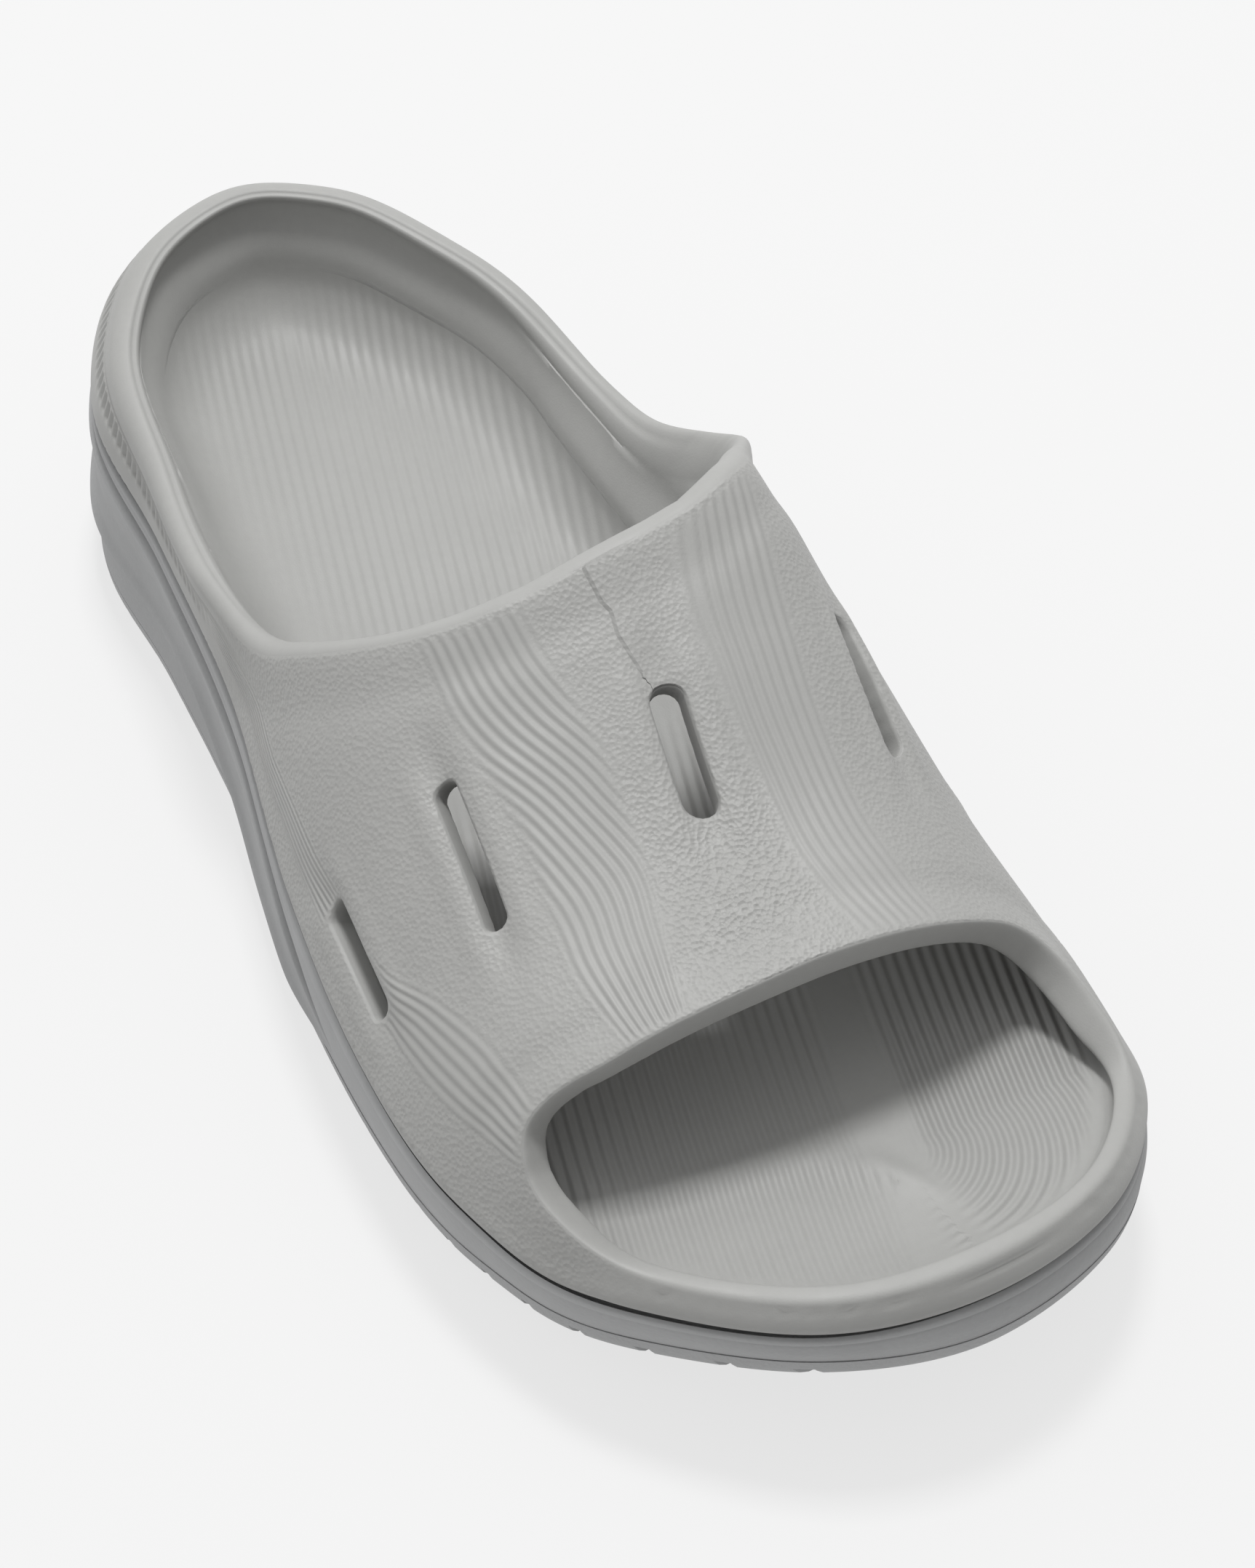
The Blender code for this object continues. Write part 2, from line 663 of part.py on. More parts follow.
def groove_cutter():
    """Bars across the underside that cut the grooves between the tread lugs."""
    work = bmesh.new()
    for share in GROOVES:
        y = (0.5 - share) * LENGTH
        slope = (rocker(np.array(y - 0.002)) - rocker(np.array(y + 0.002))) / 0.004
        tilt = math.atan(slope)
        bar = bmesh.ops.create_cube(work, size=1.0)["verts"]
        size = Matrix.Diagonal((BALL_WIDTH * 1.3, GROOVE_WIDTH, LUG * 4, 1.0))
        turn = Matrix.Rotation(-tilt, 4, "X")
        place = Matrix.Translation((0.0, y, float(rocker(np.array(y))) - LUG))
        bmesh.ops.transform(work, matrix=place @ turn @ size, verts=bar)
    mesh = bpy.data.meshes.new("groove_cutter")
    work.to_mesh(mesh)
    work.free()
    item = bpy.data.objects.new("groove_cutter", mesh)
    bpy.context.scene.collection.objects.link(item)
    item.hide_render = True
    item.display_type = "WIRE"
    return item


def cut(item, cutter):
    tool = item.modifiers.new("grooves", "BOOLEAN")
    tool.operation = "DIFFERENCE"
    tool.solver = "EXACT"
    tool.use_self = True
    tool.object = cutter


def add_object(name, points, faces, colour, roughness):
    mesh = bpy.data.meshes.new(name)
    mesh.from_pydata([tuple(p) for p in points], [], [tuple(int(i) for i in f) for f in faces])
    mesh.validate()
    work = bmesh.new()
    work.from_mesh(mesh)
    bmesh.ops.triangulate(work, faces=work.faces)
    bmesh.ops.recalc_face_normals(work, faces=work.faces)
    if work.calc_volume(signed=True) < 0:
        bmesh.ops.reverse_faces(work, faces=work.faces)
    work.to_mesh(mesh)
    work.free()
    mesh.shade_smooth()
    mesh.set_sharp_from_angle(angle=math.radians(40))
    item = bpy.data.objects.new(name, mesh)
    bpy.context.scene.collection.objects.link(item)
    material = bpy.data.materials.new(name)
    material.use_nodes = True
    shader = material.node_tree.nodes["Principled BSDF"]
    shader.inputs["Base Color"].default_value = (*colour, 1.0)
    shader.inputs["Roughness"].default_value = roughness
    shader.inputs["Metallic"].default_value = 0.0
    mesh.materials.append(material)
    return item


def build():
    for item in list(bpy.data.objects):
        bpy.data.objects.remove(item, do_unlink=True)
    meshes = [upper_mesh(), midsole_mesh(), outsole_mesh()]
    every = np.concatenate([points for points, faces in meshes])
    middle = (every.min(0) + every.max(0)) / 2
    middle[2] = 0.0
    (upper, upper_faces), (midsole, midsole_faces), (outsole, outsole_faces) = meshes
    add_object("upper", upper - middle, upper_faces, (0.46, 0.46, 0.44), 0.62)
    add_object("midsole", midsole - middle, midsole_faces, (0.38, 0.39, 0.40), 0.66)
    tread = add_object("outsole", outsole - middle, outsole_faces, (0.37, 0.38, 0.39), 0.70)
    cut(tread, groove_cutter())


build()
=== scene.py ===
import math

import bmesh
import bpy
import numpy as np
from mathutils import Euler, Matrix, Vector
from mathutils.geometry import delaunay_2d_cdt
from mathutils.kdtree import KDTree


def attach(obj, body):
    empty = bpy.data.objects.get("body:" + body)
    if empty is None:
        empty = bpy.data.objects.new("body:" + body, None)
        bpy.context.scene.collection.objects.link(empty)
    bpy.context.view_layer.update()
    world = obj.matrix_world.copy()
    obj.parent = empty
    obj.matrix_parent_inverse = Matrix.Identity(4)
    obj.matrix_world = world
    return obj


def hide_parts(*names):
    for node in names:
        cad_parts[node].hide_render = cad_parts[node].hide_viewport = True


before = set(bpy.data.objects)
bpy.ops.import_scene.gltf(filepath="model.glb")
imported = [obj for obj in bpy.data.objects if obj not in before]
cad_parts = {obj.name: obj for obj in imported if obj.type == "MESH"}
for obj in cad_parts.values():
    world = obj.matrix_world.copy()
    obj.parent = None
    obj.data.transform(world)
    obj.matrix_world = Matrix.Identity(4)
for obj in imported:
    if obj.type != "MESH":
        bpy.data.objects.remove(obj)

bl_info = {
    "name": "Moulded slide sandal",
    "version": (1, 0, 0),
    "blender": (4, 5, 0),
    "location": "View3D > Sidebar > Slide",
    "description": "Builds the strap shell, midsole and tread of a moulded slide sandal",
    "category": "Add Mesh",
}

# Sizes in metres. The shoe lies with its toe at -Y and its inner side at +X.
LENGTH = 0.295
BALL_WIDTH = 0.124
HEEL_HEIGHT = 0.045
INSTEP_HEIGHT = 0.084
LEDGE = 0.0040
WALL = 0.0060
FOOTBED = 0.0085
SEAT_LEDGE = 0.0044
JOINT_GAP = 0.0002
TREAD_BASE = 0.0026
LUG = 0.0020
CENTRING = np.array([0.0000578, 0.0003576, 0.0])

# Grooves across the tread, by share of the length.
GROOVES = (
    0.035, 0.085, 0.135, 0.185, 0.235, 0.285, 0.335,
    0.555, 0.590, 0.625, 0.660, 0.695, 0.730, 0.765, 0.800, 0.835, 0.870, 0.905, 0.940, 0.970,
)

# The unrolled plan: an ellipse that stands for the seam, around a straight crown line.
PLAN_HALF_WIDTH = 0.085
PLAN_HALF_LENGTH = 0.165
CROWN_MIDDLE = 0.530
CROWN_HALF = 0.370

# Round the shell by angle from the back of the heel, the outer side negative.
AROUND = (
    # angle, along, across, seam, rim_in, rim_up, square, floor
    (-168, 0.976, -0.161, 0.733, 0.060, 0.120, 1.85, 0.060),
    (-156, 0.902, -0.363, 0.644, 0.060, 0.120, 1.85, 0.055),
    (-135, 0.795, -0.484, 0.600, 0.050, 0.140, 2.16, 0.040),
    (-113, 0.674, -0.508, 0.644, 0.000, 0.200, 2.02, 0.020),
    (-95, 0.561, -0.484, 0.733, -0.010, 0.280, 2.10, 0.020),
    (-71, 0.408, -0.411, 0.822, -0.020, 0.360, 2.40, 0.050),
    (-42, 0.255, -0.379, 0.889, 0.010, 0.270, 2.00, 0.080),
    (-24, 0.122, -0.357, 0.944, 0.105, 0.345, 2.00, 0.110),
    (-12, 0.040, -0.238, 0.984, 0.195, 0.410, 2.00, 0.120),
    (0, 0.000, -0.012, 1.000, 0.260, 0.440, 2.00, 0.120),
    (12, 0.043, 0.190, 1.000, 0.240, 0.440, 2.10, 0.120),
    (28, 0.157, 0.320, 0.962, 0.120, 0.410, 2.20, 0.110),
    (53, 0.308, 0.347, 0.911, -0.030, 0.295, 2.40, 0.080),
    (67, 0.387, 0.357, 0.886, -0.050, 0.310, 2.90, 0.065),
    (80, 0.462, 0.371, 0.856, -0.190, 0.330, 2.50, 0.050),
    (90, 0.529, 0.398, 0.798, -0.080, 0.310, 3.20, 0.032),
    (100, 0.596, 0.431, 0.733, -0.010, 0.280, 3.20, 0.020),
    (121, 0.719, 0.488, 0.644, 0.000, 0.200, 2.25, 0.020),
    (141, 0.818, 0.507, 0.607, 0.050, 0.140, 1.72, 0.040),
    (157, 0.913, 0.458, 0.633, 0.060, 0.120, 1.85, 0.055),
    (169, 0.976, 0.302, 0.733, 0.060, 0.120, 1.85, 0.060),
    (180, 1.000, 0.081, 0.789, 0.060, 0.120, 1.85, 0.060),
)
# The crown line: along of LENGTH, across of BALL_WIDTH, arch top of INSTEP_HEIGHT, footbed of HEEL_HEIGHT.
CROWN = (
    # along, across, arch, footbed
    (0.160, 0.000, 1.300, 0.850), (0.350, 0.120, 1.220, 0.800), (0.440, 0.175, 1.190, 0.745),
    (0.525, 0.195, 1.125, 0.690), (0.620, 0.135, 0.960, 0.610), (0.720, 0.090, 0.810, 0.555),
    (0.820, 0.058, 0.767, 0.600), (0.900, 0.062, 0.730, 0.690),
)
COLLAR_RIM = (-58, -42, -24, -12, 0, 12, 24, 38, 54)
COLLAR_EDGE = (
    # cross, angle
    (-0.785, 76.8), (-0.700, 82.0), (-0.600, 87.0), (-0.480, 91.0), (-0.340, 93.1), (-0.160, 93.2),
    (0.000, 92.3), (0.080, 91.2), (0.150, 90.0), (0.215, 88.5), (0.300, 86.0), (0.380, 82.8), (0.446, 79.8),
    (0.500, 77.8), (0.554, 75.9), (0.625, 73.2), (0.690, 69.8), (0.755, 64.5),
)
TOE_RIM = (-158, -169, 180, 169, 158)
TOE_EDGE = (
    # cross, angle
    (-0.860, 148.0), (-0.800, 139.6), (-0.730, 136.4), (-0.640, 136.0), (-0.540, 137.0), (-0.350, 138.2),
    (-0.120, 139.2), (0.000, 139.5), (0.280, 139.6), (0.460, 139.3), (0.580, 139.4), (0.680, 140.8),
    (0.760, 143.5), (0.830, 149.0),
)
# The five vent slots: rear end and front end as angle round and share up, then the width in metres.
SLOTS = (
    # angle, up, angle, up, width
    (-101, 0.130, -114, 0.128, 0.0055),
    (-102, 0.450, -117, 0.433, 0.0048),
    (-105, 0.880, -118, 0.880, 0.0062),
    (102, 0.600, 117, 0.560, 0.0058),
    (100, 0.200, 117, 0.167, 0.0055),
)
# Underside by share of the length: rise above the floor as a share of HEEL_HEIGHT.
ROCKER = (
    # along, rise
    (-0.020, 0.230), (0.020, 0.130), (0.060, 0.040), (0.100, 0.000), (0.340, 0.000), (0.410, 0.040),
    (0.490, 0.040), (0.550, 0.000), (0.690, 0.000), (0.760, 0.045), (0.830, 0.140), (0.900, 0.270),
    (0.960, 0.390), (1.010, 0.490),
)
# How far the bottom edge stands out from the seam, and the two swept steps of the side.
SIDE = (
    # angle, out, upper, lower
    (-168, -0.030, 0.84, 0.93), (-156, -0.070, 0.84, 0.93), (-135, -0.090, 0.84, 0.93),
    (-113, -0.070, 0.84, 0.93), (-100, -0.045, 0.64, 0.93), (-90, -0.020, 0.38, 0.93),
    (-80, -0.005, 0.29, 0.92), (-71, 0.000, 0.25, 0.80), (-53, 0.005, 0.18, 0.55), (-38, 0.015, 0.14, 0.62),
    (-24, 0.030, 0.10, 0.70), (0, 0.040, 0.10, 0.62), (24, 0.010, 0.10, 0.70), (38, 0.000, 0.14, 0.63),
    (53, -0.020, 0.18, 0.55), (71, -0.030, 0.25, 0.80), (80, -0.040, 0.29, 0.92), (91, -0.045, 0.38, 0.93),
    (100, -0.045, 0.64, 0.93), (108, -0.045, 0.84, 0.93), (121, -0.050, 0.84, 0.93),
    (141, -0.050, 0.84, 0.93), (157, 0.010, 0.84, 0.93), (169, 0.030, 0.84, 0.93), (180, 0.030, 0.84, 0.93),
)

# Bands of flowing lines over the strap: angle round, then the left and right edge as a cross share.
FLOW_BANDS = (
    # count of lines, lines that slip across on the way forward, rows
    (9, 6.5, (
        (76, -0.500, -0.340), (90, -0.500, -0.335), (94, -0.497, -0.322), (102, -0.477, -0.285),
        (110, -0.447, -0.258), (118, -0.462, -0.258), (125, -0.475, -0.276), (137, -0.463, -0.323),
        (146, -0.440, -0.350),
    )),
    (8, 0.0, (
        (70, -0.060, 0.150), (84, -0.050, 0.170), (94, -0.051, 0.185), (100, -0.048, 0.195),
        (106, -0.026, 0.205), (113, -0.006, 0.220), (119, 0.008, 0.235), (127, 0.030, 0.270),
        (138, 0.095, 0.335), (146, 0.140, 0.380),
    )),
    (6, 0.0, (
        (84, -0.930, -0.880), (94, -0.920, -0.860), (103, -0.910, -0.840), (112, -0.890, -0.800),
        (119, -0.870, -0.730), (128, -0.840, -0.680), (140, -0.800, -0.680),
    )),
)
# The thin raised panel edge on the outer front of the strap, as angle round and cross share.
PANEL_EDGE = ((90.5, -0.215), (93.7, -0.205), (96.5, -0.191), (97.6, -0.178), (99.6, -0.176), (103.4, -0.150))
# Middle of the toe arcs on the footbed, then the crest under the toes, across and along in metres.
ARC_MIDDLE = (0.011, -0.112)
TOE_CREST = (
    (-0.0450, -0.0894), (-0.0340, -0.0955), (-0.0210, -0.1010), (-0.0010, -0.1076), (0.0080, -0.1149),
    (0.0130, -0.1214),
)
# Rows of points that follow the seam, as shares up, so its rolled edge comes out clean.
SEAM_ROWS = (0.004, 0.009, 0.016)
# Rows round the heel, as shares of the rim wall, on the outer and on the inner skin.
OUTER_ROWS = (
    0.13, 0.20, 0.30, 0.40, 0.46, 0.50, 0.54, 0.60, 0.66, 0.72, 0.76, 0.80, 0.83, 0.86, 0.89, 0.92, 0.96)
INNER_ROWS = (0.15, 0.25, 0.35, 0.5, 0.65, 0.8, 0.92)
# Half turn of the heel rows, degrees, and the shares up at which the rim wall is measured.
HEEL_TURN = 72.4
RIM_UP = np.linspace(0, 1, 81)
# Rounds of relaxing: the plain skins, the inner skin once more, and the corner round the footbed.
SKIN_ROUNDS = 45
INNER_ROUNDS = 40
CORNER_ROUNDS = 25
FOOT_LINE_PITCH = 0.0024
# Tables worked out once and read again: eased columns, rim shares and lengths round the heel.
EASED = {}
RIM_TABLE = []
HEEL_TABLE = []


def through(rows, column, at, period=0.0):
    """Smooth curve through one column of a table."""
    x = np.array([row[0] for row in rows], float)
    y = np.array([row[column] for row in rows], float)
    at = np.asarray(at, float)
    if period:
        x = np.concatenate([x[-3:] - period, x, x[:3] + period])
        y = np.concatenate([y[-3:], y, y[:3]])
        at = (at - x[3]) % period + x[3]
    slope = np.gradient(y, x)
    rise = np.diff(y) / np.diff(x)
    slope[1:-1] = np.where(rise[1:] * rise[:-1] == 0, 0.0, slope[1:-1])
    at = np.clip(at, x[0], x[-1])
    k = np.clip(np.searchsorted(x, at, "right") - 1, 0, len(x) - 2)
    step = x[k + 1] - x[k]
    f = (at - x[k]) / step
    a = (1 + 2 * f) * (1 - f) ** 2 * y[k] + f * (1 - f) ** 2 * step * slope[k]
    return a + f * f * (3 - 2 * f) * y[k + 1] + f * f * (f - 1) * step * slope[k + 1]


def ease(low, high, at):
    """Smooth step from 0 at low to 1 at high."""
    f = np.clip((np.asarray(at, float) - low) / (high - low), 0.0, 1.0)
    return f * f * (3 - 2 * f)


def hump(at, middle, half):
    """Smooth rise that is 1 at the middle and fades out over a few half widths."""
    return np.exp(-((np.asarray(at, float) - middle) / half) ** 2)


def around(column, angle):
    """One column of the table round the shell, with its corners eased over a few degrees."""
    if column not in EASED:
        spots = np.arange(-200.0, 200.1, 0.5)
        plain = through(AROUND, column, spots, 360.0)
        width = np.exp(-(np.arange(-16, 17) * 0.5 / 2.8) ** 2)
        EASED[column] = (spots, np.convolve(np.pad(plain, 16, "edge"), width / width.sum(), "valid"))
    spots, values = EASED[column]
    return np.interp(turned(angle), spots, values)


def turned(angle):
    """Angle round from -180 to 180."""
    return (np.asarray(angle, float) + 180) % 360 - 180


def arch_share(angle):
    """1 where the strap arches over the foot, 0 where the rim is a low wall."""
    signed = turned(angle)
    start = np.where(signed > 0, 65, 56)
    side = np.abs(signed)
    return ease(start, start + 22, side) * (1 - ease(148, 158, side))


def seam_point(angle):
    """Seam between the upper and the midsole."""
    x, y, z = around(2, angle) * BALL_WIDTH, (0.5 - around(1, angle)) * LENGTH, around(3, angle) * HEEL_HEIGHT
    return np.stack([x, y, z], -1)


def crown_point(angle, column, size):
    """Crown line under the angle: the arch top (column 2) or the footbed's middle (column 3)."""
    t = CROWN_MIDDLE - CROWN_HALF * np.cos(np.radians(angle))
    x = through(CROWN, 1, t) * BALL_WIDTH
    z = through(CROWN, column, t) * size
    return np.stack([x, (0.5 - t) * LENGTH, z], -1)


def shell_point(angle, up):
    """Outer skin of the shell at an angle round and a share up from the seam to the crown."""
    angle = np.asarray(angle, float)
    up = np.asarray(up, float)
    seam = seam_point(angle)
    top = crown_point(angle, 2, INSTEP_HEIGHT)
    run = top[..., :2] - seam[..., :2]
    deep = np.linalg.norm(run, axis=-1)
    high = top[..., 2] - seam[..., 2]
    power = 2.0 / around(6, angle)
    turn = np.linspace(0.0, math.pi / 2, 41)
    inward = (deep - LEDGE)[..., None] * (1 - np.cos(turn) ** power[..., None])
    inward = inward + LEDGE * (1 - np.exp(-6 * turn))
    upward = high[..., None] * np.sin(turn) ** power[..., None]
    length = np.zeros_like(inward)
    length[..., 1:] = np.cumsum(np.hypot(np.diff(inward), np.diff(upward)), -1)
    total = length[..., -1]
    spot = up * total
    k = np.clip((length < spot[..., None]).sum(-1) - 1, 0, len(turn) - 2)[..., None]
    a, b = between(length, k, 0), between(length, k, 1)
    f = np.clip((spot - a) / np.maximum(b - a, 1e-9), 0, 1)
    rim_in = around(4, angle) * HEEL_HEIGHT
    rim_up = around(5, angle) * HEEL_HEIGHT
    v = np.maximum(spot, 0) / np.hypot(rim_in, rim_up)
    wall_in = rim_in * 2 * ease(0, 2, v)
    wall_up = rim_up * v
    arch = arch_share(angle)
    inside = wall_in + (between(inward, k, f) - wall_in) * arch
    height = wall_up + (between(upward, k, f) - wall_up) * arch
    return raised(seam[..., :2] + run / deep[..., None] * inside[..., None], seam[..., 2] + height)


def raised(flat, height):
    """Points in space from places on the ground and their heights."""
    return np.concatenate([flat, height[..., None]], -1)


def between(values, k, f):
    """Value at share f between entry k and the next."""
    a = np.take_along_axis(values, k, -1)[..., 0]
    b = np.take_along_axis(values, k + 1, -1)[..., 0]
    return a + (b - a) * f


def foot_point(angle):
    """Bottom outer edge of the sole's side, at the top of the tread sheet."""
    seam = seam_point(angle)
    top = crown_point(angle, 2, INSTEP_HEIGHT)
    away = seam[..., :2] - top[..., :2]
    away = away / np.linalg.norm(away, axis=-1)[..., None]
    flat = seam[..., :2] + away * (through(SIDE, 1, angle, 360.0) * HEEL_HEIGHT)[..., None]
    return raised(flat, rocker(flat[..., 1]) + TREAD_BASE + LUG)


def rocker(y):
    """Rise of the underside above the floor."""
    return through(ROCKER, 1, 0.5 - y / LENGTH) * HEEL_HEIGHT


def plan(angle, up):
    """Place on the unrolled plan, metres."""
    turn = np.radians(angle)
    rest = 1.0 - np.asarray(up, float)
    reach = PLAN_HALF_LENGTH * rest + CROWN_HALF * LENGTH * (1 - rest)
    return np.stack([PLAN_HALF_WIDTH * rest * np.sin(turn), reach * np.cos(turn)], -1)


def unplan(points):
    """Angle round and share up of places on the unrolled plan."""
    x = np.where(np.abs(points[:, 0]) < 1e-5, 1e-5, points[:, 0])
    y = points[:, 1]
    low = np.full(len(points), 1e-6)
    high = np.full(len(points), 1.1)
    for _ in range(40):
        rest = (low + high) / 2
        reach = PLAN_HALF_LENGTH * rest + CROWN_HALF * LENGTH * (1 - rest)
        outside = (x / (PLAN_HALF_WIDTH * rest)) ** 2 + (y / reach) ** 2 > 1
        low = np.where(outside, rest, low)
        high = np.where(outside, high, rest)
    rest = (low + high) / 2
    reach = PLAN_HALF_LENGTH * rest + CROWN_HALF * LENGTH * (1 - rest)
    angle = np.degrees(np.arctan2(x / (PLAN_HALF_WIDTH * rest), y / reach))
    return angle, np.clip(1 - rest, 0, 1)


def running(points):
    """Length run along a row of points."""
    return np.concatenate([[0], np.cumsum(np.linalg.norm(np.diff(points, axis=0), axis=1))])


def rim_runs(angle):
    """Length run up the shell at even shares, and the length of the rim wall."""
    steps = len(RIM_UP)
    points = shell_point(np.repeat(angle, steps), np.tile(RIM_UP, len(angle))).reshape(-1, steps, 3)
    along = np.cumsum(np.linalg.norm(np.diff(points, axis=1), axis=-1), axis=1)
    return along, np.hypot(around(4, angle), around(5, angle)) * HEEL_HEIGHT


def rim_share(angle):
    """Share up from the seam at which the rim wall ends, read from a table every degree."""
    if not RIM_TABLE:
        spots = np.arange(-180.0, 181.0)
        along, wall = rim_runs(spots)
        along = np.concatenate([np.zeros((len(spots), 1)), along], axis=1)
        share = [np.interp(w, row, RIM_UP) if row[-1] > w else 0.3 for row, w in zip(along, wall)]
        RIM_TABLE.append((spots, np.array(share)))
    return np.interp(turned(angle), *RIM_TABLE[0])


def heel_run(angle):
    """Length along the seam from the back of the heel, in metres, read from a table."""
    if not HEEL_TABLE:
        spots = np.arange(-90.0, 90.5, 0.5)
        along = running(seam_point(spots))
        HEEL_TABLE.append((spots, along - along[180]))
    return np.interp(turned(angle), *HEEL_TABLE[0])


def coarse_rim_share(angle):
    """The same share in the coarse steps that the openings of the plain solid were drawn with."""
    along, wall = rim_runs(angle)
    return np.array([RIM_UP[1:][np.argmax(row > w)] if (row > w).any() else 0.3 for row, w in zip(along, wall)])


def even_loop(loop, step):
    """Closed loop cut into near equal steps."""
    ring = np.concatenate([loop, loop[:1]])
    along = running(ring)
    spots = np.linspace(0, along[-1], int(round(along[-1] / step)), endpoint=False)
    return np.stack([np.interp(spots, along, ring[:, k]) for k in (0, 1)], -1)


def closed_curve(points, step):
    """Smooth closed curve through the points, in near equal steps."""
    ring = np.concatenate([points, points[:1]])
    along = running(ring)
    rows = np.column_stack([along[:-1], points])
    spots = np.linspace(0, along[-1], 2400, endpoint=False)
    return even_loop(np.stack([through(rows, k, spots, along[-1]) for k in (1, 2)], -1), step)


def opening_loop(rim, edge, step):
    """Edge of the collar or of the toe opening on the unrolled plan."""
    rim = np.array(rim, float)
    cross = np.linspace(edge[-1][0], edge[0][0], 27)
    cross[np.argmin(np.abs(cross))] = 0.0
    angle = np.where(cross < 0, -1, 1) * through(edge, 1, cross)
    parts = [plan(rim, coarse_rim_share(rim)), plan(angle, 1 - np.abs(cross))]
    return closed_curve(np.concatenate(parts), step)


def slot_run(row):
    """Start, end, length and direction of one slot on the unrolled plan."""
    start, end = plan(row[0], row[1]), plan(row[2], row[3])
    length = np.linalg.norm(end - start)
    run = (end - start) / length
    return start, end, length, run, np.array([-run[1], run[0]])


def slot_loop(row, step):
    """Long rounded slot between its two ends."""
    start, end, _, run, side = slot_run(row)
    half = row[4] / 2
    cap = [(math.cos(t), math.sin(t)) for t in np.linspace(-math.pi / 2, math.pi / 2, 17)]
    front = [end - run * half + half * (c * run + s * side) for c, s in cap]
    back = [start + run * half - half * (c * run + s * side) for c, s in cap]
    return even_loop(np.array(front + back), step)


def within(points, loop):
    """True for the points inside a closed loop."""
    hit = np.zeros(len(points), bool)
    after = np.roll(loop, -1, axis=0)
    for (x0, y0), (x1, y1) in zip(loop, after):
        cross = (y0 > points[:, 1]) != (y1 > points[:, 1])
        at = x0 + (points[:, 1] - y0) * (x1 - x0) / (y1 - y0 if y1 != y0 else 1e-12)
        hit ^= cross & (points[:, 0] < at)
    return hit


def distance_to(points, others):
    """Distance from each point to the nearest of the others."""
    tree = KDTree(len(others))
    for k, p in enumerate(others):
        tree.insert((*p, 0.0)[:3], k)
    tree.balance()
    return np.array([tree.find((*p, 0.0)[:3])[2] for p in points])


def plan_mesh(ring, loops, grid, heel_rows, heel_step):
    """Triangles of the unrolled plan with the openings left out, in even rows round the heel."""
    rows = np.arange(-PLAN_HALF_LENGTH, PLAN_HALF_LENGTH, grid * 0.87)
    spots = []
    for k, y in enumerate(rows):
        x = np.arange(-PLAN_HALF_WIDTH, PLAN_HALF_WIDTH, grid) + (k % 2) * grid / 2
        spots.append(np.stack([x, np.full(len(x), y)], -1))
    spots = np.concatenate(spots)
    spots = spots[within(spots, ring)]
    for loop in loops:
        spots = spots[~within(spots, loop)]
    spots = spots[np.abs(unplan(spots)[0]) >= 73]
    runs = np.arange(heel_run(-HEEL_TURN), heel_run(HEEL_TURN), heel_step)
    turn = np.repeat(np.interp(runs, *HEEL_TABLE[0][::-1]), len(heel_rows))
    band = plan(turn, np.tile(heel_rows, len(runs)) * rim_share(turn))
    spots = np.concatenate([spots, band[~within(band, loops[0])]])
    seam_rows = [plan(ring_angles(len(ring)), np.full(len(ring), share)) for share in SEAM_ROWS]
    edge = np.concatenate([ring] + loops + seam_rows)
    points = np.concatenate([edge, spots[distance_to(spots, edge) > grid * 0.55]])
    edges = []
    start = 0
    for loop in [ring] + loops:
        n = len(loop)
        edges += [(start + i, start + (i + 1) % n) for i in range(n)]
        start += n
    result = delaunay_2d_cdt([Vector(p) for p in points], edges, [], 0, 1e-7)
    back = [group[0] for group in result[3]]
    faces = np.array([[back[i] for i in face] for face in result[2]])
    middle = points[faces].mean(1)
    keep = within(middle, ring)
    for loop in loops:
        keep &= ~within(middle, loop)
    faces = faces[keep]
    a, b, c = (points[faces[:, i]] for i in range(3))
    turn = (b - a)[:, 0] * (c - a)[:, 1] - (b - a)[:, 1] * (c - a)[:, 0]
    faces[turn < 0] = faces[turn < 0][:, ::-1]
    return points, faces[np.abs(turn) > 1e-12]


def vertex_normals(points, faces):
    """Unit normals of the points, weighted by face size."""
    a, b, c = (points[faces[:, i]] for i in range(3))
    face = np.cross(b - a, c - a)
    total = np.zeros_like(points)
    for i in range(3):
        np.add.at(total, faces[:, i], face)
    return total / np.maximum(np.linalg.norm(total, axis=1), 1e-15)[:, None]


def inward_unit(angle):
    """Level unit vector from the seam towards the crown line."""
    run = crown_point(angle, 2, INSTEP_HEIGHT)[..., :2] - seam_point(angle)[..., :2]
    return run / np.linalg.norm(run, axis=-1)[..., None]


def wall_thickness(angle):
    """The wall is thinner round the toe, where the bumper is slim."""
    return WALL - 0.0022 * ease(146, 162, np.abs(turned(angle)))


def floor_edge(angle):
    """Where the footbed meets the inside of the wall."""
    angle = np.asarray(angle, float)
    seam = seam_point(angle)
    inset = wall_thickness(angle) + np.maximum(around(4, angle), 0) * HEEL_HEIGHT * (1 - arch_share(angle))
    flat = seam[..., :2] + inward_unit(angle) * inset[..., None]
    return raised(flat, seam[..., 2] + around(7, angle) * HEEL_HEIGHT)


def inner_wall(angle, share):
    """Inside of the low rim wall, from the footbed (share 0) to the rim top (share 1)."""
    base = floor_edge(angle)
    inset = wall_thickness(angle) + around(4, angle) * HEEL_HEIGHT
    flat = seam_point(angle)[..., :2] + inward_unit(angle) * inset[..., None]
    top = raised(flat, seam_point(angle)[..., 2] + around(5, angle) * HEEL_HEIGHT)
    return base + (top - base) * share[..., None]


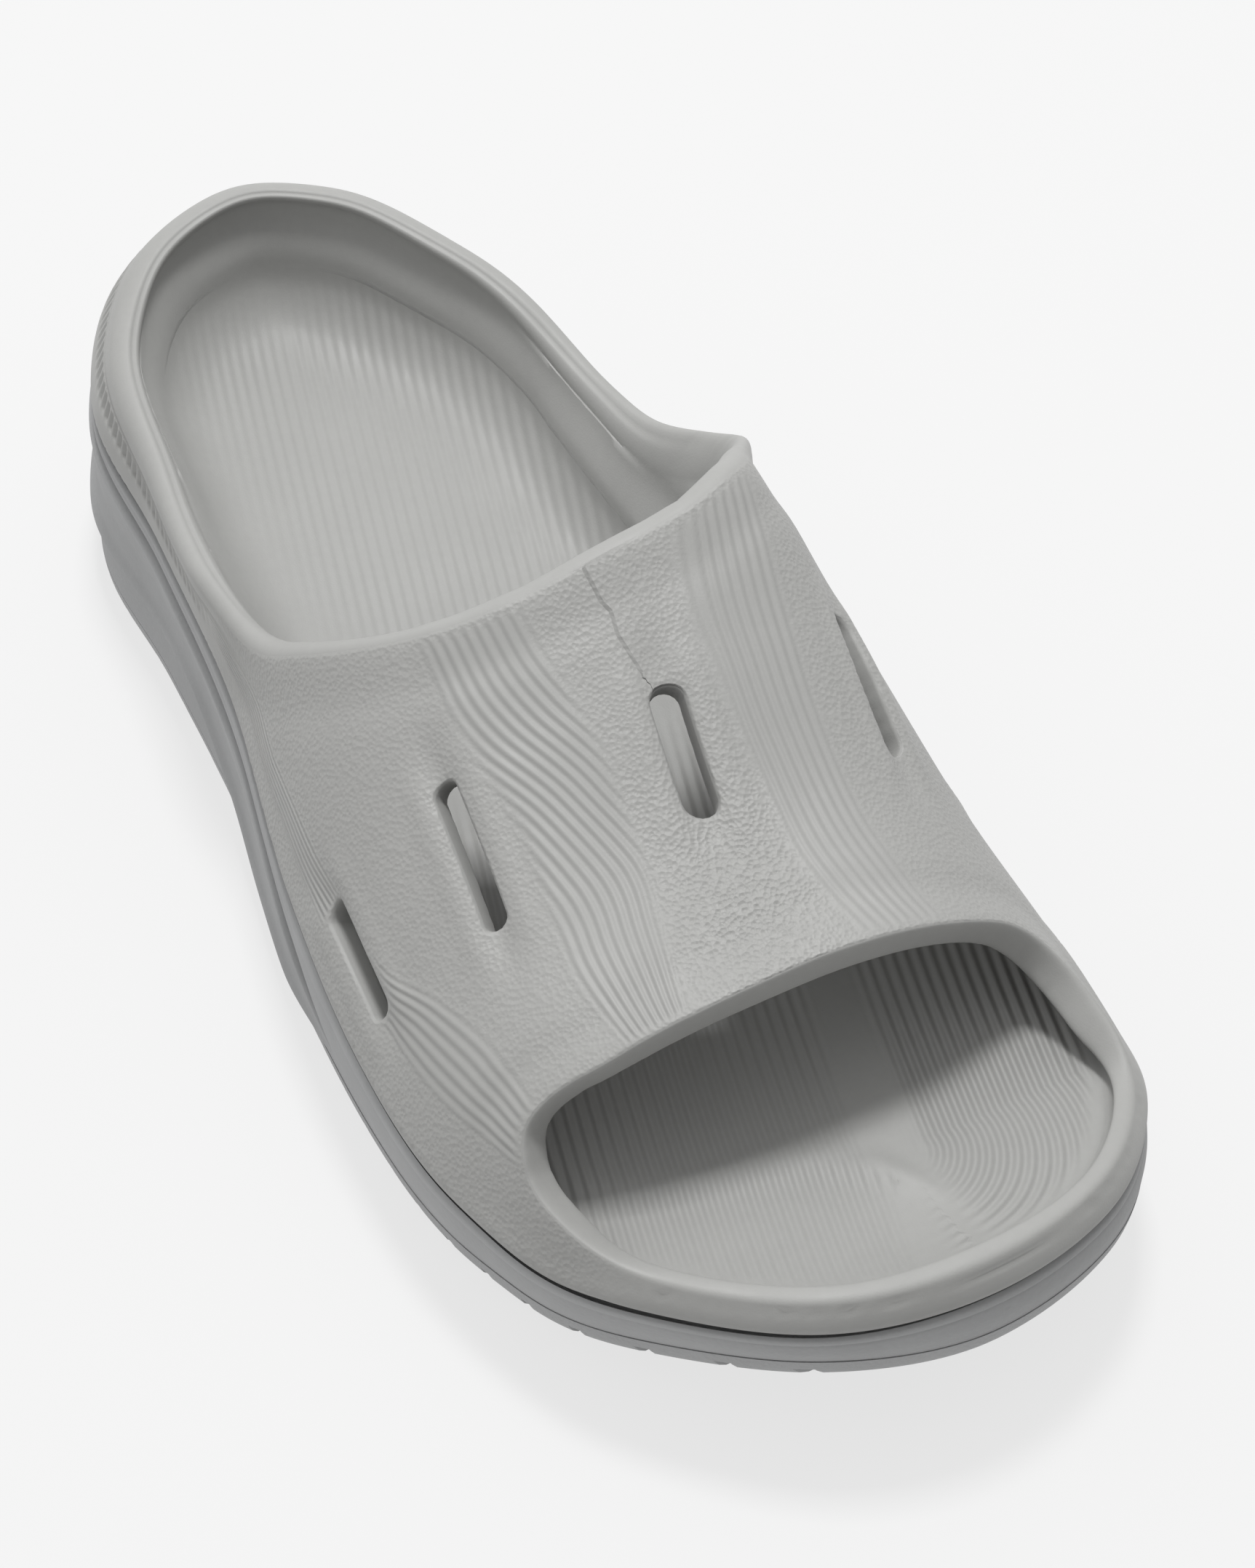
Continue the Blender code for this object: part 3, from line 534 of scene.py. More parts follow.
def floor_point(angle, share):
    """Top of the footbed from its edge (share 0) to the crown line (share 1)."""
    edge = floor_edge(angle)
    middle = crown_point(angle, 3, HEEL_HEIGHT)
    point = edge + (middle - edge) * np.asarray(share)[..., None]
    point[..., 2] = middle[..., 2] + (edge - middle)[..., 2] * (1 - share) ** 2.6
    return point


def disc(points, angles, rings, lift, ground=False, flip=False):
    """Faces from ring to ring and down to a middle line with one new point per pair of mirrored angles."""
    n = len(angles)
    places = crown_point(angles[:n // 2 + 1], 3, HEEL_HEIGHT)
    if ground:
        places[:, 2] = rocker(places[:, 1])
    places[:, 2] += lift
    ids = add_ring(points, places)
    middle = [ids[min(i, n - i)] for i in range(n)]
    faces = []
    for a, b in zip(rings, rings[1:] + [middle]):
        for i in range(n):
            k = (i + 1) % n
            face = [a[i], a[k], b[k], b[i]]
            face = [v for j, v in enumerate(face) if v != face[j - 1]]
            if len(face) > 2:
                faces.append(face[::-1] if flip else face)
    return faces


def band_faces(rows):
    """Faces from each closed row of points to the next."""
    m = len(rows[0])
    after = [(k + 1) % m for k in range(m)]
    return [[a[j], a[k], b[k], b[j]] for a, b in zip(rows, rows[1:]) for k, j in enumerate(after)]


def ring_angles(steps):
    """Even angles round the ring of the seam."""
    return (-np.arange(steps) * 360.0 / steps) % 360


def add_ring(points, ring):
    """Add a ring to the points and give back its numbers."""
    start = len(points)
    points.extend(ring)
    return list(range(start, start + len(ring)))


def corner_radius(angle):
    """Radius of the soft corner where the footbed runs up into the wall."""
    side = np.abs(turned(angle))
    return 0.0014 + 0.0115 * (1 - ease(60, 100, side))


def rounded_wall(angle, points):
    """Inner wall points carried onto the upper half of the corner's arc."""
    radius = corner_radius(angle)
    base = floor_edge(angle)[:, 2]
    t = np.clip((points[:, 2] - base) / radius, 0, 1)
    turn = math.pi / 4 * (1 + t)
    moved = points.copy()
    moved[:, :2] += inward_unit(angle) * (radius * (1 - np.sin(turn)))[:, None]
    moved[:, 2] = base + radius * (1 - np.cos(turn))
    return np.where((t < 1)[:, None], moved, points)


def rounded_floor(angle, share):
    """Footbed points carried onto the lower half of the corner's arc."""
    radius = corner_radius(angle)
    edge = floor_edge(angle)
    reach = np.linalg.norm((crown_point(angle, 3, HEEL_HEIGHT) - edge)[:, :2], axis=1)
    far = share * reach
    t = np.clip(far / radius, 0, 1)
    turn = math.pi / 4 * (1 - t)
    new_far = np.where(t < 1, radius * (1 - np.sin(turn)), far)
    point = floor_point(angle, np.clip(new_far / reach, 0, 1))
    point[:, 2] += radius * (1 - np.cos(turn))
    return point


def flow_field(angle, up):
    """Line number across the flowing bands of the strap, and how far the lines show."""
    signed = turned(angle)
    side = np.abs(signed)
    cross = np.sign(signed) * (1 - up)
    number = np.zeros(len(side))
    show = np.zeros(len(side))
    nearest = np.full(len(side), 99.0)
    for lines, slip, rows in FLOW_BANDS:
        wave = 0.0016 * np.sin(side * 0.45 + 2.0)
        left = through(rows, 1, side)
        right = through(rows, 2, side)
        t = (cross + wave - left) / (right - left)
        off = np.abs(t - 0.5) * (right - left)
        number = np.where(off < nearest, t * lines - slip * ease(97, 124, side), number)
        nearest = np.minimum(nearest, off)
        seen = ease(-0.12, 0.14, t) * (1 - ease(0.86, 1.12, t)) * ease(60, 70, side)
        show = np.maximum(show, seen)
    return number, show


def strap_relief(angle, up, flat, loops, values):
    """How far the outer skin stands out from the plain shell, in metres."""
    arch = arch_share(angle)
    v = up / rim_share(angle)
    heel = 1 - ease(50, 66, np.abs(turned(angle)))
    # Short upright ribs under the rim at the back of the heel.
    ribs = ease(0.48, 0.54, v) * (1 - ease(0.75, 0.80, v)) * heel
    relief = values.rib_depth * ribs * (np.cos(2 * math.pi * heel_run(angle) / values.rib_pitch) - 1) / 2
    # The fine second line below the rim bead, all round the collar and the toe.
    relief -= values.rim_line_depth * hump(v, 0.84, 0.035) * (1 - arch)
    # Soft bead along the rear and front edge of the strap, with a hollow behind it.
    for loop in loops[:2]:
        gap = distance_to(flat, loop)
        relief += arch * (0.0004 * hump(gap, 0.0, 0.0035) - 0.0003 * hump(gap, 0.0085, 0.0035))
    # Lips and running valleys of the vent slots.
    for row in SLOTS:
        start, _, length, run, side_run = slot_run(row)
        along = (flat - start) @ run
        across = np.abs((flat - start) @ side_run)
        beyond = np.maximum(np.maximum(-along, along - length), 0)
        half = row[4] / 2
        relief -= values.valley_depth * hump(across, 0, half * 0.9) * hump(beyond, 0, 0.010)
        relief += values.valley_depth * 0.45 * hump(across, half + 0.0022, 0.0018) * hump(beyond, 0, 0.006)
    # Bands of flowing lines stand a little proud.
    relief += 0.00025 * flow_field(angle, up)[1]
    # Soft lower edge that rolls in to the seam.
    relief -= 0.0008 * (1 - ease(0, 0.015, up))
    return relief


def panel_edge(angle, up):
    """Signed distance from the zigzag panel edge on the outer front of the strap, and how far it shows."""
    flat = plan(turned(angle), up)
    line = np.array([plan(-a, 1 - abs(c)) for a, c in PANEL_EDGE])
    best = np.full(len(flat), 1.0)
    signed = np.full(len(flat), 1.0)
    for a, b in zip(line, line[1:]):
        run = b - a
        t = np.clip(((flat - a) @ run) / (run @ run), 0, 1)
        away = flat - a - t[:, None] * run
        gap = np.linalg.norm(away, axis=1)
        side = np.sign(run[0] * away[:, 1] - run[1] * away[:, 0])
        signed = np.where(gap < best, gap * side, signed)
        best = np.minimum(best, gap)
    return np.clip(signed, -0.004, 0.004), 1 - ease(0.004, 0.009, best)


def settle(points, faces, weight, rounds, rails=()):
    """Relax the chosen points towards their neighbours; points on a rail only follow the rail."""
    pairs = set()
    for face in faces:
        for i, v in enumerate(face):
            w = face[i - 1]
            if weight[v] > 0 or weight[w] > 0:
                pairs.add((min(v, w), max(v, w)))
    pairs = np.array(sorted(pairs))
    count = np.zeros(len(points))
    np.add.at(count, pairs[:, 0], 1)
    np.add.at(count, pairs[:, 1], 1)
    for _ in range(rounds):
        total = np.zeros_like(points)
        np.add.at(total, pairs[:, 0], points[pairs[:, 1]])
        np.add.at(total, pairs[:, 1], points[pairs[:, 0]])
        mean = total / np.maximum(count, 1)[:, None]
        for rail in rails:
            mean[rail] = (points[np.roll(rail, 1)] + points[np.roll(rail, -1)]) / 2
        points += (mean - points) * (0.5 * weight)[:, None]
    return points


def soft_zone(angle, up, flat, front, deep=0):
    """Where the skins are relaxed: the inner rear corner of the strap and the middle of its front edge."""
    signed = turned(angle)
    corner = hump(signed, 76 - 8 * deep, 20 + 12 * deep) * ease(0.05, 0.25, up)
    cross = np.sign(signed) * (1 - up)
    middle = hump(cross, 0, 0.16) * hump(distance_to(flat, front), 0, 0.012)
    return np.minimum(corner + middle, 1)


def corner_bulge(angle, up):
    """How far the inner side of the strap swells out below its rear corner, in metres."""
    return 0.0038 * hump(turned(angle), 83, 13) * hump(up, 0.50, 0.25)


def bead(points, outer, normal, into, ids, inner_ids, steps, reach_share, crease):
    """Rounded lip between the outer and inner skin along one opening."""
    m = len(ids)
    made = [[] for _ in range(steps - 1)]
    for k in range(m):
        v = ids[k]
        tangent = outer[ids[(k + 1) % m]] - outer[ids[k - 1]]
        away = np.cross(normal[v], tangent)
        away /= np.linalg.norm(away)
        if np.dot(away, into[v] - outer[v]) > 0:
            away = -away
        a, b = points[v], points[inner_ids[k]]
        centre = (a + b) / 2
        half = (a - b) / 2
        reach = np.linalg.norm(half) * reach_share[k]
        power = 0.45 + 0.55 * reach_share[k]
        for j in range(1, steps):
            turn = math.pi * j / steps
            c, s = math.cos(turn), math.sin(turn)
            dent = 1 - crease[k] * math.exp(-((j / steps - 0.60) / 0.055) ** 2)
            points.append(centre + half * math.copysign(abs(c) ** power, c) + away * reach * s ** power * dent)
            made[j - 1].append(len(points) - 1)
    return band_faces([ids] + made + [inner_ids])


def inner_skin(angle, up, outer, normal):
    """Inner skin: a wall's thickness inside the strap, and the straight inner wall round the low rim."""
    inner = outer - normal * WALL
    base = floor_edge(angle)
    low = np.clip(1 - up / 0.16, 0, 1)
    lifted = base.copy()
    lifted[:, 2] += 0.8 * (outer - seam_point(angle))[:, 2]
    inner += (lifted - inner) * (low ** 1.5)[:, None]
    inner[:, 2] = np.maximum(inner[:, 2], base[:, 2])
    wall = inner_wall(angle, np.clip(up / rim_share(angle), 0, 1))
    return wall + (inner - wall) * arch_share(angle)[:, None]


def plain_skin(turn, loops, rails, grid, rows, step):
    """One skin of the shell on its own grid: plan, faces, angle, up, relaxed points and normals."""
    n = len(turn)
    flat, faces = plan_mesh(plan(turn, np.zeros(n)), loops, grid, rows, step)
    angle, up = unplan(flat)
    angle[:n] = turn
    up[:n] = 0.0
    points = settle(shell_point(angle, up), faces, soft_zone(angle, up, flat, loops[1]), SKIN_ROUNDS, rails)
    normal = vertex_normals(points, faces)
    if normal[len(normal) // 2:, 2].mean() < 0:
        normal = -normal
    return flat, faces, angle, up, points + normal * corner_bulge(angle, up)[:, None], normal


def lips(points, plain, normal, faces, angle, loops, first):
    """Rounded lips between the two skins, along every opening."""
    count = len(plain)
    into = np.zeros_like(plain)
    weight = np.zeros(count)
    middle = np.array(points[:count])[faces].mean(1)
    for i in range(3):
        np.add.at(into, faces[:, i], middle)
        np.add.at(weight, faces[:, i], 1)
    into /= np.maximum(weight, 1)[:, None]
    made = []
    for k, loop in enumerate(loops):
        m = len(loop)
        ids = list(range(first[k], first[k] + m))
        turn = np.abs(turned(angle[ids]))
        share = (np.ones(m), 0.28 + 0.27 * ease(146, 160, turn), np.full(m, 0.2))[min(k, 2)]
        crease = (0.16 if k == 0 else 0.0) * (1 - ease(60, 76, turn))
        steps = (18, 14, 6)[min(k, 2)]
        made += bead(points, plain, normal, into, ids, [v + count for v in ids], steps, share, crease)
    return made


def footbed_lines(x, y, edge_gap):
    """Line number across the footbed and how far the lines show."""
    ahead = np.minimum(y - ARC_MIDDLE[1], 0)
    aside = x - ARC_MIDDLE[0] - 0.27 * np.maximum(y - ARC_MIDDLE[1], np.where(x < ARC_MIDDLE[0], -0.05, 0.0))
    arcs = np.hypot(aside, ahead)
    plain_zone = hump(aside, 0.0, 0.0045) * ease(-0.002, -0.006, ahead)
    front = ease(0.0, -0.04, y) * (1 - plain_zone) * (0.65 + 0.35 * ease(-0.118, -0.10, y))
    front *= (1 + 0.9 * ease(0.0, 0.006, aside) * ease(-0.075, -0.095, y)) * ease(0.003, 0.008, arcs)
    rear = 0.65 * ease(0.0, 0.02, y) * ease(-0.034, -0.010, x) * (1 - ease(0.105, 0.128, y))
    show = (1.5 * front + rear) * ease(0.002, 0.006, edge_gap)
    return np.where(aside > 0, arcs, aside) / FOOT_LINE_PITCH, show


def upper_mesh(values):
    """Points and faces of the strap shell with its footbed, and the readings its material needs."""
    n = values.around_steps
    ring = ring_angles(n)
    step = values.edge_step
    loops = [opening_loop(COLLAR_RIM, COLLAR_EDGE, step), opening_loop(TOE_RIM, TOE_EDGE, step)]
    loops += [slot_loop(row, step) for row in SLOTS]
    first = np.cumsum([n] + [len(loop) for loop in loops])
    rails = [np.arange(a, b) for a, b in zip(first[:2], first[1:3])]
    flat, faces, angle, up, plain, normal = plain_skin(
        ring, loops, rails, values.outer_grid, OUTER_ROWS, values.rib_pitch / 5)
    outer = plain + normal * strap_relief(angle, up, flat, loops, values)[:, None]
    # The inner skin shares the openings, on a wider grid.
    flat_in, faces_in, angle_in, up_in, skin, normal_in = plain_skin(
        ring, loops, rails, values.inner_grid, INNER_ROWS, 0.0022)
    zone = soft_zone(angle_in, up_in, flat_in, loops[1], 1)
    inner = settle(inner_skin(angle_in, up_in, skin, normal_in), faces_in, zone, INNER_ROUNDS, rails)
    free = slice(first[-1], None)
    inner[free] = rounded_wall(angle_in, inner)[free]
    inner[:n] = rounded_floor(ring, np.zeros(n))
    count = len(flat)
    points = [*outer, *inner]
    all_faces = [list(f) for f in faces] + [[i + count for i in f[::-1]] for f in faces_in]
    all_faces += lips(points, plain, normal, faces, angle, loops, first)
    floor_start = len(points)
    top = [list(range(count, count + n))]
    for k in range(1, values.floor_rings):
        share = np.full(n, (k / values.floor_rings) ** 1.15)
        top.append(add_ring(points, rounded_floor(ring, share)))
    all_faces += disc(points, ring, top, 0.0)
    floor = np.arange(floor_start, len(points))
    low_ring = seam_point(ring)
    low_ring[:, :2] += inward_unit(ring) * SEAT_LEDGE
    bottom = [list(range(n)), add_ring(points, low_ring)] + seat_rings(points, ring, -FOOTBED)
    all_faces += disc(points, ring, bottom, -FOOTBED, flip=True)
    points = np.array(points)
    # Round the corner where the footbed runs up into the wall.
    inside = np.arange(count, count + len(inner))
    soft = np.concatenate([inside[:n], inside[free], floor])
    gap = distance_to(points[soft], floor_edge(ring))
    width = values.fillet * (0.15 + 0.85 * ease(-0.060, 0.010, points[soft][:, 1]))
    weight = np.zeros(len(points))
    weight[soft] = 1 - ease(0.3, 1.0, gap / width)
    points = settle(points, all_faces, weight, CORNER_ROUNDS)
    # Soft crest across under the toes.
    x, y = points[floor, 0], points[floor, 1]
    band = hump(y, through(TOE_CREST, 1, x), 0.0042) * (1 - ease(0.009, 0.017, x)) * ease(-0.047, -0.036, x)
    points[floor, 2] += values.crest_height * band
    # Readings for the material.
    number, show = flow_field(angle, up)
    show *= ease(0.0, 0.0022, distance_to(flat, np.concatenate(loops)))
    cross = np.sign(turned(angle)) * (1 - up)
    strong = hump(np.abs(turned(angle)), 130, 12) * hump(cross, -0.11, 0.16)
    pebble = arch_share(angle) * (1 - show) * (0.35 + 0.65 * strong)
    edge, edge_show = panel_edge(angle, up)
    skin_values = {
        "lines": number, "lines_show": show, "pebble": pebble, "panel": edge, "panel_show": edge_show}
    readings = {name: np.zeros(len(points)) for name in skin_values}
    for name, reading in skin_values.items():
        readings[name][:count] = reading
    lines = footbed_lines(x, y, distance_to(points[floor], floor_edge(ring)))
    readings["lines"][floor], readings["lines_show"][floor] = lines
    return points, all_faces, readings


def seat_rings(points, ring, lift):
    """Rings that follow the footbed from its edge inwards, moved up or down."""
    made = []
    for k in range(5):
        seat = floor_point(ring, np.full(len(ring), (k / 5) ** 1.3))
        seat[:, 2] += lift
        made.append(add_ring(points, seat))
    return made


def side_rows(upper, lower):
    """Rows down the side that follow the swept steps: share down and how far each stands out."""
    u, m = upper, lower
    half = (u + m) / 2
    rows = [
        (u * 0.0, -0.0007), (u * 0.03, -0.0003), (u * 0.07, -0.0001), (u * 0.13, 0.0), (u * 0.19, 0.0),
        (u * 0.22, 0.0), (u * 0.25, 0.0), (u * 0.28, 0.0), (u * 0.31, 0.0), (u * 0.38, 0.0001),
        (u * 0.50, 0.0001), (u * 0.65, 0.0), (u * 0.80, -0.0001), (u - 0.028, -0.0003), (u - 0.018, -0.0006),
        (u - 0.008, -0.0011), (u, -0.0013), (u + 0.006, -0.0009), (u + 0.013, -0.0002), (u + 0.024, 0.0004),
        (u + 0.040, 0.0006), (u + 0.065, 0.0005), (half - 0.03, 0.0002), (half, 0.0001), (half + 0.03, 0.0002),
        (m - 0.090, 0.0003), (m - 0.055, 0.0006), (m - 0.030, 0.0011), (m - 0.018, 0.0012), (m - 0.009, 0.0008),
        (m - 0.003, 0.0), (m + 0.003, -0.0007), (m + 0.012, -0.0011), (m + 0.026, -0.0011),
        (m * 0.75 + 0.25, -0.0009), (m * 0.5 + 0.5, -0.0006), (m * 0.25 + 0.75, -0.0002), (m * 0 + 1.0, 0.0),
    ]
    last = len(rows) - 1
    shares = []
    for k, (share, out) in enumerate(rows):
        low = shares[-1] + 0.0015 if shares else share
        shares.append(np.minimum(np.maximum(share, low), 1.0 - 0.0015 * (last - k)))
    return [(share, out) for share, (_, out) in zip(shares, rows)]


def toe_profile(share):
    """How far the side stands out round the toe: a rolled top, one thin line and a soft belly."""
    places = (0.0, 0.025, 0.06, 0.16, 0.19, 0.215, 0.24, 0.27, 0.50, 0.86, 0.94, 1.0)
    outs = (-0.0007, -0.0002, 0.0, 0.0001, 0.0000, -0.0001, 0.0000, 0.0001, 0.0004, 0.0001, -0.0001, -0.0001)
    return np.interp(share, places, outs)


def midsole_mesh(values):
    """Foam side wall with its swept steps, and the seat under the footbed."""
    angles = ring_angles(values.around_steps)
    points = []
    seam = seam_point(angles)
    foot = foot_point(angles)
    foot[:, 2] += JOINT_GAP
    seam[:, 2] -= JOINT_GAP + values.seam_gap
    inward = inward_unit(angles)
    show = 1 - ease(92, 106, np.abs(turned(angles)))
    sides = []
    for share, out in side_rows(through(SIDE, 2, angles, 360.0), through(SIDE, 3, angles, 360.0)):
        line = seam + (foot - seam) * share[:, None]
        stand = out * show + toe_profile(share) * (1 - show)
        line[:, :2] -= inward * (stand * values.step_depth)[:, None]
        sides.append(add_ring(points, line))
    # A narrow trench behind the top edge keeps the seam under the upper dark.
    top = [sides[0]]
    for inset, drop in ((0.0009, 0.0028), (0.0034, 0.0030), (SEAT_LEDGE, 0.0)):
        trench = seam.copy()
        trench[:, :2] += inward * inset
        trench[:, 2] -= drop
        top.append(add_ring(points, trench))
    seat = -FOOTBED - JOINT_GAP
    top += seat_rings(points, angles, seat)
    rise = TREAD_BASE + LUG + JOINT_GAP
    faces = disc(points, angles, top, seat)
    faces += disc(points, angles, under_rings(points, angles, sides[-1], rise), rise, True, True)
    return np.array(points), faces + band_faces(sides)


def under_rings(points, angles, edge, rise):
    """The given edge ring and three rings further in, lifted above the underside."""
    foot = foot_point(angles)
    middle = crown_point(angles, 3, HEEL_HEIGHT)
    rings = [edge]
    for k in range(1, 4):
        ring = foot + (middle - foot) * (k / 4)
        ring[:, 2] = rocker(ring[:, 1]) + rise
        rings.append(add_ring(points, ring))
    return rings


def tread_mesh(values):
    """Tread sheet before its grooves are cut."""
    angles = ring_angles(values.around_steps)
    points = []
    height = TREAD_BASE + LUG
    edge = foot_point(angles)
    walls = [add_ring(points, edge)]
    faces = disc(points, angles, under_rings(points, angles, walls[0], height), height, True)
    for drop, inset in ((0.30, 0.0001), (0.60, 0.0003), (0.85, 0.0007), (1.0, 0.0015)):
        ring = edge.copy()
        ring[:, :2] += inward_unit(angles) * inset
        ring[:, 2] = rocker(ring[:, 1]) + height * (1 - drop)
        walls.append(add_ring(points, ring))
    faces += disc(points, angles, under_rings(points, angles, walls[-1], 0.0), 0.0, True, True)
    return np.array(points), faces + band_faces(walls)


def groove_cutter(groove_width):
    """Bars across the underside that cut the grooves between the tread lugs."""
    work = bmesh.new()
    for share in GROOVES:
        y = (0.5 - share) * LENGTH
        slope = (rocker(np.array(y - 0.002)) - rocker(np.array(y + 0.002))) / 0.004
        bar = bmesh.ops.create_cube(work, size=1.0)["verts"]
        size = Matrix.Diagonal((BALL_WIDTH * 1.3, groove_width, LUG * 4, 1.0))
        turn = Matrix.Rotation(-math.atan(slope), 4, "X")
        place = Matrix.Translation((0.0, y, float(rocker(np.array(y))) - LUG))
        bmesh.ops.transform(work, matrix=place @ turn @ size, verts=bar)
    bmesh.ops.translate(work, verts=work.verts, vec=-Vector(CENTRING))
    mesh = bpy.data.meshes.new("groove_bars")
    work.to_mesh(mesh)
    work.free()
    return placed("groove_bars", mesh)


def placed(name, data):
    """Object with the given mesh, light or camera, linked to the scene."""
    item = bpy.data.objects.new(name, data)
    bpy.context.scene.collection.objects.link(item)
    return item


def new_piece(name, points, faces, sharp):
    """Smooth-shaded mesh object in the shoe's centred frame."""
    mesh = bpy.data.meshes.new(name)
    mesh.from_pydata([tuple(p) for p in points - CENTRING], [], [tuple(int(i) for i in f) for f in faces])
    work = bmesh.new()
    work.from_mesh(mesh)
    bmesh.ops.triangulate(work, faces=work.faces)
    bmesh.ops.recalc_face_normals(work, faces=work.faces)
    if work.calc_volume(signed=True) < 0:
        bmesh.ops.reverse_faces(work, faces=work.faces)
    work.to_mesh(mesh)
    work.free()
    if len(mesh.polygons) == 0:
        raise RuntimeError("The mesh of " + name + " came out empty")
    mesh.shade_smooth()
    mesh.set_sharp_from_angle(angle=math.radians(sharp))
    return placed(name, mesh)


def point_values(item, name, values):
    """Store one reading on the points of a piece."""
    item.data.attributes.new(name, "FLOAT", "POINT").data.foreach_set("value", np.asarray(values, np.float32))


class NodeMaker:
    """Short calls for building a shader tree."""

    def __init__(self, material):
        material.use_nodes = True
        self.tree = material.node_tree
        self.shader = self.tree.nodes["Principled BSDF"]
        self.place = self.add("ShaderNodeTexCoord").outputs["Object"]

    def add(self, kind, **settings):
        node = self.tree.nodes.new(kind)
        for key, value in settings.items():
            setattr(node, key, value)
        return node

    def link(self, source, target):
        self.tree.links.new(source, target)

    def calc(self, operation, *inputs):
        node = self.add("ShaderNodeMath", operation=operation)
        for socket, value in zip(node.inputs, inputs):
            if isinstance(value, (int, float)):
                socket.default_value = value
            else:
                self.link(value, socket)
        return node.outputs[0]

    def noise(self, scale, detail):
        node = self.add("ShaderNodeTexNoise")
        feed(node, {"Scale": scale, "Detail": detail, "Roughness": 0.5})
        self.link(self.place, node.inputs["Vector"])
        return node.outputs[0]

    def cells(self, scale, smooth):
        node = self.add("ShaderNodeTexVoronoi", feature="SMOOTH_F1")
        feed(node, {"Scale": scale, "Smoothness": smooth})
        self.link(self.place, node.inputs["Vector"])
        return node.outputs["Distance"]

    def reading(self, name):
        return self.add("ShaderNodeAttribute", attribute_name=name).outputs["Fac"]

    def spread(self, source, low, high, from_low=0.3, from_high=0.7):
        node = self.add("ShaderNodeMapRange")
        self.link(source, node.inputs["Value"])
        feed(node, {"From Min": from_low, "From Max": from_high, "To Min": low, "To Max": high})
        return node.outputs["Result"]

    def colour(self, source, colour, dark, light):
        node = self.add("ShaderNodeValToRGB")
        self.link(source, node.inputs["Fac"])
        for stop, place, by in zip(node.color_ramp.elements, (0.3, 0.7), (dark, light)):
            stop.position = place
            stop.color = (*(min(1.0, c * by) for c in colour), 1.0)
        self.link(node.outputs["Color"], self.shader.inputs["Base Color"])

    def mottle(self, coarse, fine):
        large = self.calc("MULTIPLY", self.noise(coarse, 3), 0.6)
        return self.calc("ADD", large, self.calc("MULTIPLY", self.noise(fine, 2), 0.4))

    def rough(self, scale, low, high):
        self.link(self.spread(self.noise(scale, 3), low, high), self.shader.inputs["Roughness"])

    def bump(self, *heights):
        total = heights[0]
        for height in heights[1:]:
            total = self.calc("ADD", total, height)
        node = self.add("ShaderNodeBump")
        feed(node, {"Strength": 1.0, "Distance": 1.0})
        self.link(total, node.inputs["Height"])
        self.link(node.outputs["Normal"], self.shader.inputs["Normal"])


def feed(node, values):
    """Set the named sockets of a node."""
    for name, value in values.items():
        node.inputs[name].default_value = value


def upper_foam(values):
    """Matte moulded foam with pores, pebbled leather grain and fine raised lines."""
    material = bpy.data.materials.new("upper_foam")
    make = NodeMaker(material)
    make.colour(make.mottle(38, 600), values.colour, 0.965, 1.03)
    pores = make.calc("MULTIPLY", make.noise(2600, 2), values.pore_depth)
    cell = make.calc("MULTIPLY", make.cells(1150, 0.30), make.reading("pebble"))
    pebble = make.calc("MULTIPLY", cell, values.pebble_depth)
    wave = make.calc("SINE", make.calc("MULTIPLY", make.reading("lines"), 2 * math.pi))
    line = make.calc("MULTIPLY", make.calc("MULTIPLY", wave, make.reading("lines_show")), values.line_depth)
    step = make.spread(make.reading("panel"), 0.0, values.panel_step, -0.0003, 0.0003)
    step = make.calc("MULTIPLY", step, make.reading("panel_show"))
    make.bump(pores, line, pebble, step)
    make.rough(90, values.roughness - 0.06, values.roughness + 0.05)
    feed(make.shader, {"Specular IOR Level": 0.42, "Sheen Weight": 0.06, "Sheen Roughness": 0.5})
    return material


def sole_foam(name, values, pore_depth, grit_depth):
    """Cooler, slightly rougher foam of the midsole and tread."""
    material = bpy.data.materials.new(name)
    make = NodeMaker(material)
    make.colour(make.mottle(45, 900), values.colour, 0.955, 1.035)
    pores = make.calc("MULTIPLY", make.noise(2200, 3), pore_depth)
    make.bump(pores, make.calc("MULTIPLY", make.cells(1100, 0.2), grit_depth))
    make.rough(120, values.roughness - 0.05, values.roughness + 0.05)
    feed(make.shader, {"Specular IOR Level": 0.38})
    return material


def number(name, value, note, **more):
    """Property for a plain number."""
    return bpy.props.FloatProperty(name=name, description=note, default=value, **more)


def size(name, value, note):
    """Property for a length in metres."""
    return number(name, value, note, unit="LENGTH", precision=6)


def share(name, value, note):
    """Property for a share."""
    return number(name, value, note, subtype="FACTOR")


def count(name, value, note):
    """Property for a count of points or rings."""
    return bpy.props.IntProperty(name=name, description=note, default=value, min=4)


def paint(name, value, note):
    """Property for a colour."""
    return bpy.props.FloatVectorProperty(
        name=name, description=note, default=value, size=3, subtype="COLOR", min=0.0, max=1.0)


